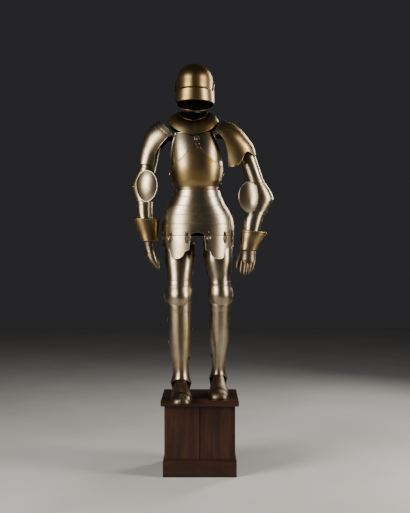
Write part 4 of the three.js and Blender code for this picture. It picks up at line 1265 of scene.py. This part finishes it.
def build_knees():
    wall = size("wall")
    for name, hand in SIDES:
        leg = LEGS[name]
        form = upright_form(leg["form"])
        for lame, low, high, drop, lift, bulge, reach in KNEE:
            cup = lame == "poleyn"

            def foot(a):
                return low - drop * np.exp(-(a / KNEE_POINT) ** 2)

            def head(a):
                return high - (13 if cup else 8) * (1 - np.exp(-(a / 42) ** 2))

            def rise(v, a):
                ridge = (5.5 if cup else 2.0) * np.clip(1 - np.abs(a) / 48, 0, 1)
                return lift + (bulge * np.cos(np.radians(a / 2)) ** 2 + ridge) * np.sin(pi * np.clip(v, 0.04,
                                                                                                     0.96))

            shell = Shell()
            plate = Wall(form, -reach, reach, foot, head, 110, 28 if cup else 8, rise, wall).into(shell)
            rims(shell, plate, 1.5 if cup else 1.2, "low", "high", "start", "end")
            spots = [(side * (reach - 7), mix(low, high, 0.5)) for side in (-1, 1)]
            rivets(shell, form, spots, lift + wall, 3.0)
            if cup:
                x, y, z, turn = leg["wing"]
                face = dish_form(**WING, turn=hand * 90 + turn, place=(x, y, z))
                wing = Wall(face, 0, 360, 0, 1, 64, 10,
                            lambda v, a: 1.4 * v * np.cos(np.radians(a * 6)), wall, pole=True, hand=-1,
                            step=0.01).into(shell)
                rims(shell, wing, 1.6, "low")
            add_piece(f"{lame}_{name}_fine", shell, "polished", nodes=(f"{lame}_{name}",))
        shell = Shell()
        for z in (926, 864):
            band(shell, form, z, 100, 260, 14, 3)
        add_piece(f"knee_straps_{name}", shell, "leather")


def build_greaves():
    wall = size("wall")
    for name, hand in SIDES:
        leg = LEGS[name]
        form = upright_form(leg["form"], crease=0.75)
        shell = Shell()
        front = Wall(form, -90 + SEAM, 90 - SEAM, even_edge(leg["arch"]), GREAVE["high"], 96, 48, 0,
                     wall).into(shell)
        rims(shell, front, 1.6, "high")
        rims(shell, front, 1.5, "low")
        rims(shell, front, 0.9, "start", "end")
        add_piece(f"greave_front_{name}_fine", shell, "polished", nodes=("greave_front_" + name,))
        ankle = leg["arch"]["z"][-1]
        heel = table("at z", (90, ankle), (105, ankle - 6), (135, GREAVE["heel"] + 12), (180, GREAVE["heel"]))
        shell = Shell()
        back = Wall(form, 90 + SEAM, 270 - SEAM, even_edge(heel), GREAVE["back_high"], 96, 48, 0,
                    wall).into(shell)
        rims(shell, back, 1.5, "low", "high")
        add_piece(f"greave_back_{name}_fine", shell, "polished", nodes=("greave_back_" + name,))
        metal, leathers = Shell(), Shell()
        for z in (790, 672, 556):
            hinge(metal, form, hand * 90, z, wall + 0.3, leaf=10, tall=16)
        for z in (740, 590):
            ends = sorted((-hand * 74, -hand * 112))
            band(leathers, form, z, *ends, 12, wall + 0.5)
            buckle(metal, form, -hand * 92, z, 15, 16, wall + 3.2)
        add_piece(f"greave_straps_{name}", leathers, "leather")
        add_piece(f"greave_fittings_{name}", metal, "brass")


def build_sabatons():
    wall = size("wall")
    for name, hand in SIDES:
        leg = LEGS[name]
        form = foot_form(leg["foot"], SOLE)
        tip, heel = leg["foot"]["y"][0], leg["foot"]["y"][-1]
        bend = leg["bend"]
        count = 6
        shell = Shell()
        for i in range(count):
            near = mix(bend - 4, heel, i / count)
            far = min(mix(bend - 4, heel, (i + 1) / count) + 4, heel)
            lame = Wall(form, -90, 90, near, far, 64, 5, lambda v, a: 0.9 * (1 - v), wall).into(shell)
            rims(shell, lame, 1.0, "low")
        rims(shell, lame, 1.2, "high")
        add_piece(f"sabaton_{name}_fine", shell, "browned", nodes=("sabaton_" + name,))
        shell = Shell()
        toe = Wall(form, -90, 90, bend, tip, 72, 24, -wall - 0.6, wall, pole=True).into(shell)
        add_piece(f"sabaton_toe_{name}_fine", shell, "browned", nodes=("sabaton_toe_" + name,))


# ------------------------------------------------------------------ plinth

PLINTH = {"height": 388, "base": 373, "base_height": 88, "body": 358, "cap": 395, "cap_height": 29,
          "gap": 0.3}


def add_board(mesh, points, faces, along, offset):
    """Adds a board's faces, with the place of each corner along its own grain."""
    first = len(mesh["points"])
    mesh["points"].extend(points)
    mesh["faces"].extend(tuple(i + first for i in face) for face in faces)
    for x, y, z in points:
        place = {"x": (y, z, x * 0.07), "y": (x, z, y * 0.07), "z": (x, y, z * 0.07)}[along]
        mesh["grain"].append(tuple((c + offset) * MM for c in place))


def moulding(mesh, profile, along_offset):
    """A square moulding, mitred at its corners. profile is (half width, height) from the bottom up."""
    corners = ((-1, -1), (1, -1), (1, 1), (-1, 1))
    for side in range(4):
        (ax, ay), (bx, by) = corners[side], corners[(side + 1) % 4]
        points, faces = [], []
        for half, z in profile:
            points += [(ax * half, ay * half, z), (bx * half, by * half, z)]
        for i in range(len(profile) - 1):
            faces.append((2 * i, 2 * i + 1, 2 * i + 3, 2 * i + 2))
        add_board(mesh, points, faces, "x" if ay == by else "y", along_offset + 170 * side)


def close_square(mesh, half, z, along, offset, up):
    points = [(-half, -half, z), (half, -half, z), (half, half, z), (-half, half, z)]
    add_board(mesh, points, [(0, 1, 2, 3) if up else (3, 2, 1, 0)], along, offset)


def wood_piece(name, mesh, nodes):
    """Makes boards an object, and stores the grain's direction on each corner."""
    shell = Shell()
    shell.add(mesh["points"], mesh["faces"])
    piece = add_piece(name, shell, "wood", nodes=nodes, sharp=25)
    grain = piece.data.attributes.new("grain", "FLOAT_VECTOR", "POINT")
    grain.data.foreach_set("vector", np.array(mesh["grain"], np.float32).ravel())


def rounded(low, high, half, edge, steps=4, foot=None):
    """Profile of a board's outer side with both of its edges eased."""
    foot = edge if foot is None else foot
    turn = [pi / 2 * i / steps for i in range(steps + 1)]
    under = [(half - foot + foot * sin(t), low + foot - foot * cos(t)) for t in turn]
    over = [(half - edge + edge * cos(t), high - edge + edge * sin(t)) for t in turn]
    return under + over


def build_plinth():
    half = PLINTH["base"] / 2
    cap_low = PLINTH["height"] - PLINTH["cap_height"]
    base_high = PLINTH["base_height"]

    mesh = {"points": [], "faces": [], "grain": []}
    bevel = 7
    profile = rounded(0, base_high - bevel, half, 1.5) + [
        (half - bevel * (1 - cos(radians(a))), base_high - bevel + bevel * sin(radians(a))) for a in (30, 60,
                                                                                                      90)]
    moulding(mesh, profile, 0)
    close_square(mesh, profile[-1][0], base_high, "x", 40, True)
    close_square(mesh, profile[0][0], 0, "x", 40, False)
    wood_piece("plinth_base_fine", mesh, ("plinth_base",))

    mesh = {"points": [], "faces": [], "grain": []}
    low, high = base_high + PLINTH["gap"], cap_low - PLINTH["gap"]
    reach = PLINTH["body"] / 2
    joint = 1.2
    for side in range(4):
        for board, (a, b) in enumerate(((-reach, -joint / 2), (joint / 2, reach))):
            eased = [(a, 1.6), (a + 1.6, 0.0), (b - 1.6, 0.0), (b, 1.6)]
            outer = [(u, -reach + d) for u, d in eased]
            inner = [(b, -reach + 18), (a, -reach + 18)]
            if board == 0:
                outer[0], inner[1] = (-reach, -reach), (-reach + 18, -reach + 18)
            else:
                outer[-1], inner[0] = (reach, -reach), (reach - 18, -reach + 18)
            ring = outer + inner
            for _ in range(side):
                ring = [(-y, x) for x, y in ring]
            n = len(ring)
            points = [(x, y, z) for z in (low, high) for x, y in ring]
            faces = [(i, (i + 1) % n, n + (i + 1) % n, n + i) for i in range(n)]
            faces += [tuple(reversed(range(n))), tuple(range(n, 2 * n))]
            add_board(mesh, points, faces, "z", 210 * side + 97 * board)
    wood_piece("plinth_body_fine", mesh, ("plinth_body",))

    mesh = {"points": [], "faces": [], "grain": []}
    half = PLINTH["cap"] / 2
    profile = rounded(cap_low, PLINTH["height"], half, 4, foot=6)
    moulding(mesh, profile, 310)
    close_square(mesh, profile[-1][0], PLINTH["height"], "x", 500, True)
    close_square(mesh, profile[0][0], cap_low, "x", 500, False)
    wood_piece("plinth_cap_fine", mesh, ("plinth_cap",))


# ------------------------------------------------------------------ stage

def area_light(name, place, target, width, height, power, colour):
    data = bpy.data.lights.new(name, "AREA")
    data.shape = "RECTANGLE"
    data.size, data.size_y, data.energy, data.color = width, height, power, colour
    lamp = bpy.data.objects.new(name, data)
    lamp.location = place
    lamp.rotation_euler = (Vector(target) - Vector(place)).to_track_quat("-Z", "Y").to_euler()
    bpy.context.scene.collection.objects.link(lamp)


def build_floor():
    """A plain pale floor with a faint cloud in it."""
    shell = Shell()
    reach = 9000
    shell.add([(-reach, -reach, 0), (reach, -reach, 0), (reach, reach, 0), (-reach, reach, 0)], [(0, 1, 2,
                                                                                                  3)])
    mesh = bpy.data.meshes.new("floor")
    mesh.from_pydata((np.concatenate(shell.points) * MM).tolist(), [], shell.faces)
    n = Nodes("floor_paint")
    tone = n.blend(n.spread(n.noise(1.3, 4), 0.3, 0.7), (0.60, 0.59, 0.57), (0.68, 0.67, 0.65))
    n.set(Base_Color=tone, Roughness=0.75, Normal=n.bump(n.noise(60, 3), 0.0006, 0.4))
    mesh.materials.append(n.material)
    floor = bpy.data.objects.new("floor", mesh)
    bpy.context.scene.collection.objects.link(floor)


def build_stage():
    scene = bpy.context.scene
    stage = scene.armour_stage
    build_floor()
    world = bpy.data.worlds.new("studio")
    world.use_nodes = True
    backdrop = world.node_tree.nodes["Background"]
    backdrop.inputs["Color"].default_value = (0.034, 0.034, 0.036, 1)
    scene.world = world
    scene.view_settings.look = "AgX - Medium High Contrast"
    chest = (0, 0, 1.25)
    area_light("key", (-2.5, -2.1, 2.1), chest, 1.5, 2.4, stage.key, (1.0, 0.97, 0.93))
    area_light("fill", (2.6, -0.9, 1.9), chest, 0.9, 2.4, stage.fill, (1.0, 0.95, 0.88))
    area_light("rim", (1.9, 2.2, 2.4), chest, 0.7, 2.2, stage.fill * 0.6, (1.0, 0.98, 0.95))
    camera = bpy.data.cameras.new("camera")
    camera.lens = stage.lens
    eye = bpy.data.objects.new("camera", camera)
    eye.location = (stage.aside, -stage.distance, stage.eye)
    eye.rotation_euler = (pi / 2, 0, 0)
    scene.collection.objects.link(eye)
    scene.camera = eye


# ------------------------------------------------------------------ operators

class ARMOUR_OT_helmet(Operator):
    """Builds the sallet's skull and its visor on their pivots"""
    bl_idname = "armour.helmet"
    bl_label = "Helmet"

    def execute(self, context):
        build_helmet()
        return {"FINISHED"}


class ARMOUR_OT_gorget(Operator):
    """Builds the two plates round the neck"""
    bl_idname = "armour.gorget"
    bl_label = "Gorget"

    def execute(self, context):
        build_gorget()
        return {"FINISHED"}


class ARMOUR_OT_cuirass(Operator):
    """Builds the breastplate, the plackart over it and the backplate"""
    bl_idname = "armour.cuirass"
    bl_label = "Cuirass"

    def execute(self, context):
        build_cuirass()
        return {"FINISHED"}


class ARMOUR_OT_cuirass_straps(Operator):
    """Builds the straps and buckles of the cuirass"""
    bl_idname = "armour.cuirass_straps"
    bl_label = "Cuirass straps"

    def execute(self, context):
        build_cuirass_straps()
        return {"FINISHED"}


class ARMOUR_OT_skirt(Operator):
    """Builds the lames of the skirt, front and back"""
    bl_idname = "armour.skirt"
    bl_label = "Fauld and culet"

    def execute(self, context):
        build_skirt()
        return {"FINISHED"}


class ARMOUR_OT_tassets(Operator):
    """Builds the two hanging thigh plates"""
    bl_idname = "armour.tassets"
    bl_label = "Tassets"

    def execute(self, context):
        build_tassets()
        return {"FINISHED"}


class ARMOUR_OT_tasset_straps(Operator):
    """Builds the straps and buckles that the tassets hang on"""
    bl_idname = "armour.tasset_straps"
    bl_label = "Tasset straps"

    def execute(self, context):
        build_tasset_straps()
        return {"FINISHED"}


class ARMOUR_OT_shoulders(Operator):
    """Builds the lames and main plates of the shoulders"""
    bl_idname = "armour.shoulders"
    bl_label = "Spaudlers"

    def execute(self, context):
        build_shoulders()
        return {"FINISHED"}


class ARMOUR_OT_cannons(Operator):
    """Builds the tubes of the upper and lower arms"""
    bl_idname = "armour.cannons"
    bl_label = "Cannons"

    def execute(self, context):
        build_cannons()
        return {"FINISHED"}


class ARMOUR_OT_couters(Operator):
    """Builds the elbow cups with their fans"""
    bl_idname = "armour.couters"
    bl_label = "Couters"

    def execute(self, context):
        build_couters()
        return {"FINISHED"}


class ARMOUR_OT_cuffs(Operator):
    """Builds the flared cuffs of the gauntlets"""
    bl_idname = "armour.cuffs"
    bl_label = "Gauntlet cuffs"

    def execute(self, context):
        build_cuffs()
        return {"FINISHED"}


class ARMOUR_OT_hands(Operator):
    """Builds the plates of the hands, fingers and thumbs"""
    bl_idname = "armour.hands"
    bl_label = "Gauntlet hands"

    def execute(self, context):
        build_hands()
        return {"FINISHED"}


class ARMOUR_OT_cuisses(Operator):
    """Builds the thigh plates, front and rear"""
    bl_idname = "armour.cuisses"
    bl_label = "Cuisses"

    def execute(self, context):
        build_cuisses()
        return {"FINISHED"}


class ARMOUR_OT_knees(Operator):
    """Builds the poleyns with their wings and lames"""
    bl_idname = "armour.knees"
    bl_label = "Knees"

    def execute(self, context):
        build_knees()
        return {"FINISHED"}


class ARMOUR_OT_greaves(Operator):
    """Builds the shin and calf plates"""
    bl_idname = "armour.greaves"
    bl_label = "Greaves"

    def execute(self, context):
        build_greaves()
        return {"FINISHED"}


class ARMOUR_OT_sabatons(Operator):
    """Builds the lames and toe caps of the feet"""
    bl_idname = "armour.sabatons"
    bl_label = "Sabatons"

    def execute(self, context):
        build_sabatons()
        return {"FINISHED"}


class ARMOUR_OT_plinth(Operator):
    """Builds the boards of the plinth"""
    bl_idname = "armour.plinth"
    bl_label = "Plinth"

    def execute(self, context):
        build_plinth()
        return {"FINISHED"}


class ARMOUR_OT_stage(Operator):
    """Builds the floor, the lights and the camera"""
    bl_idname = "armour.stage"
    bl_label = "Stage"

    def execute(self, context):
        build_stage()
        return {"FINISHED"}


OPERATORS = (ARMOUR_OT_helmet,
             ARMOUR_OT_gorget,
             ARMOUR_OT_cuirass,
             ARMOUR_OT_cuirass_straps,
             ARMOUR_OT_skirt,
             ARMOUR_OT_tassets,
             ARMOUR_OT_tasset_straps,
             ARMOUR_OT_shoulders,
             ARMOUR_OT_cannons,
             ARMOUR_OT_couters,
             ARMOUR_OT_cuffs,
             ARMOUR_OT_hands,
             ARMOUR_OT_cuisses,
             ARMOUR_OT_knees,
             ARMOUR_OT_greaves,
             ARMOUR_OT_sabatons,
             ARMOUR_OT_plinth,
             ARMOUR_OT_stage)


class ARMOUR_PT_pieces(Panel):
    """Lists the pieces of the armour"""
    bl_label = "Plate armour"
    bl_space_type = "VIEW_3D"
    bl_region_type = "UI"
    bl_category = "Armour"

    def draw(self, context):
        column = self.layout.column()
        for group in SETTINGS:
            settings = getattr(context.scene, group)
            for key in settings.__annotations__:
                column.prop(settings, key)
        for each in OPERATORS:
            column.operator(each.bl_idname)


SETTINGS = {"armour_sizes": ArmourSizes, "armour_finish": ArmourFinish, "armour_stage": ArmourStage}


def register():
    for each in (*SETTINGS.values(), *OPERATORS, ARMOUR_PT_pieces):
        bpy.utils.register_class(each)
    for name, group in SETTINGS.items():
        setattr(bpy.types.Scene, name, PointerProperty(type=group))


def unregister():
    for name in SETTINGS:
        delattr(bpy.types.Scene, name)
    for each in reversed((*SETTINGS.values(), *OPERATORS, ARMOUR_PT_pieces)):
        bpy.utils.unregister_class(each)


def main():
    register()
    for each in OPERATORS:
        group, action = each.bl_idname.split(".")
        getattr(getattr(bpy.ops, group), action)()
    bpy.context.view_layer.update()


if __name__ == "__main__":
    main()
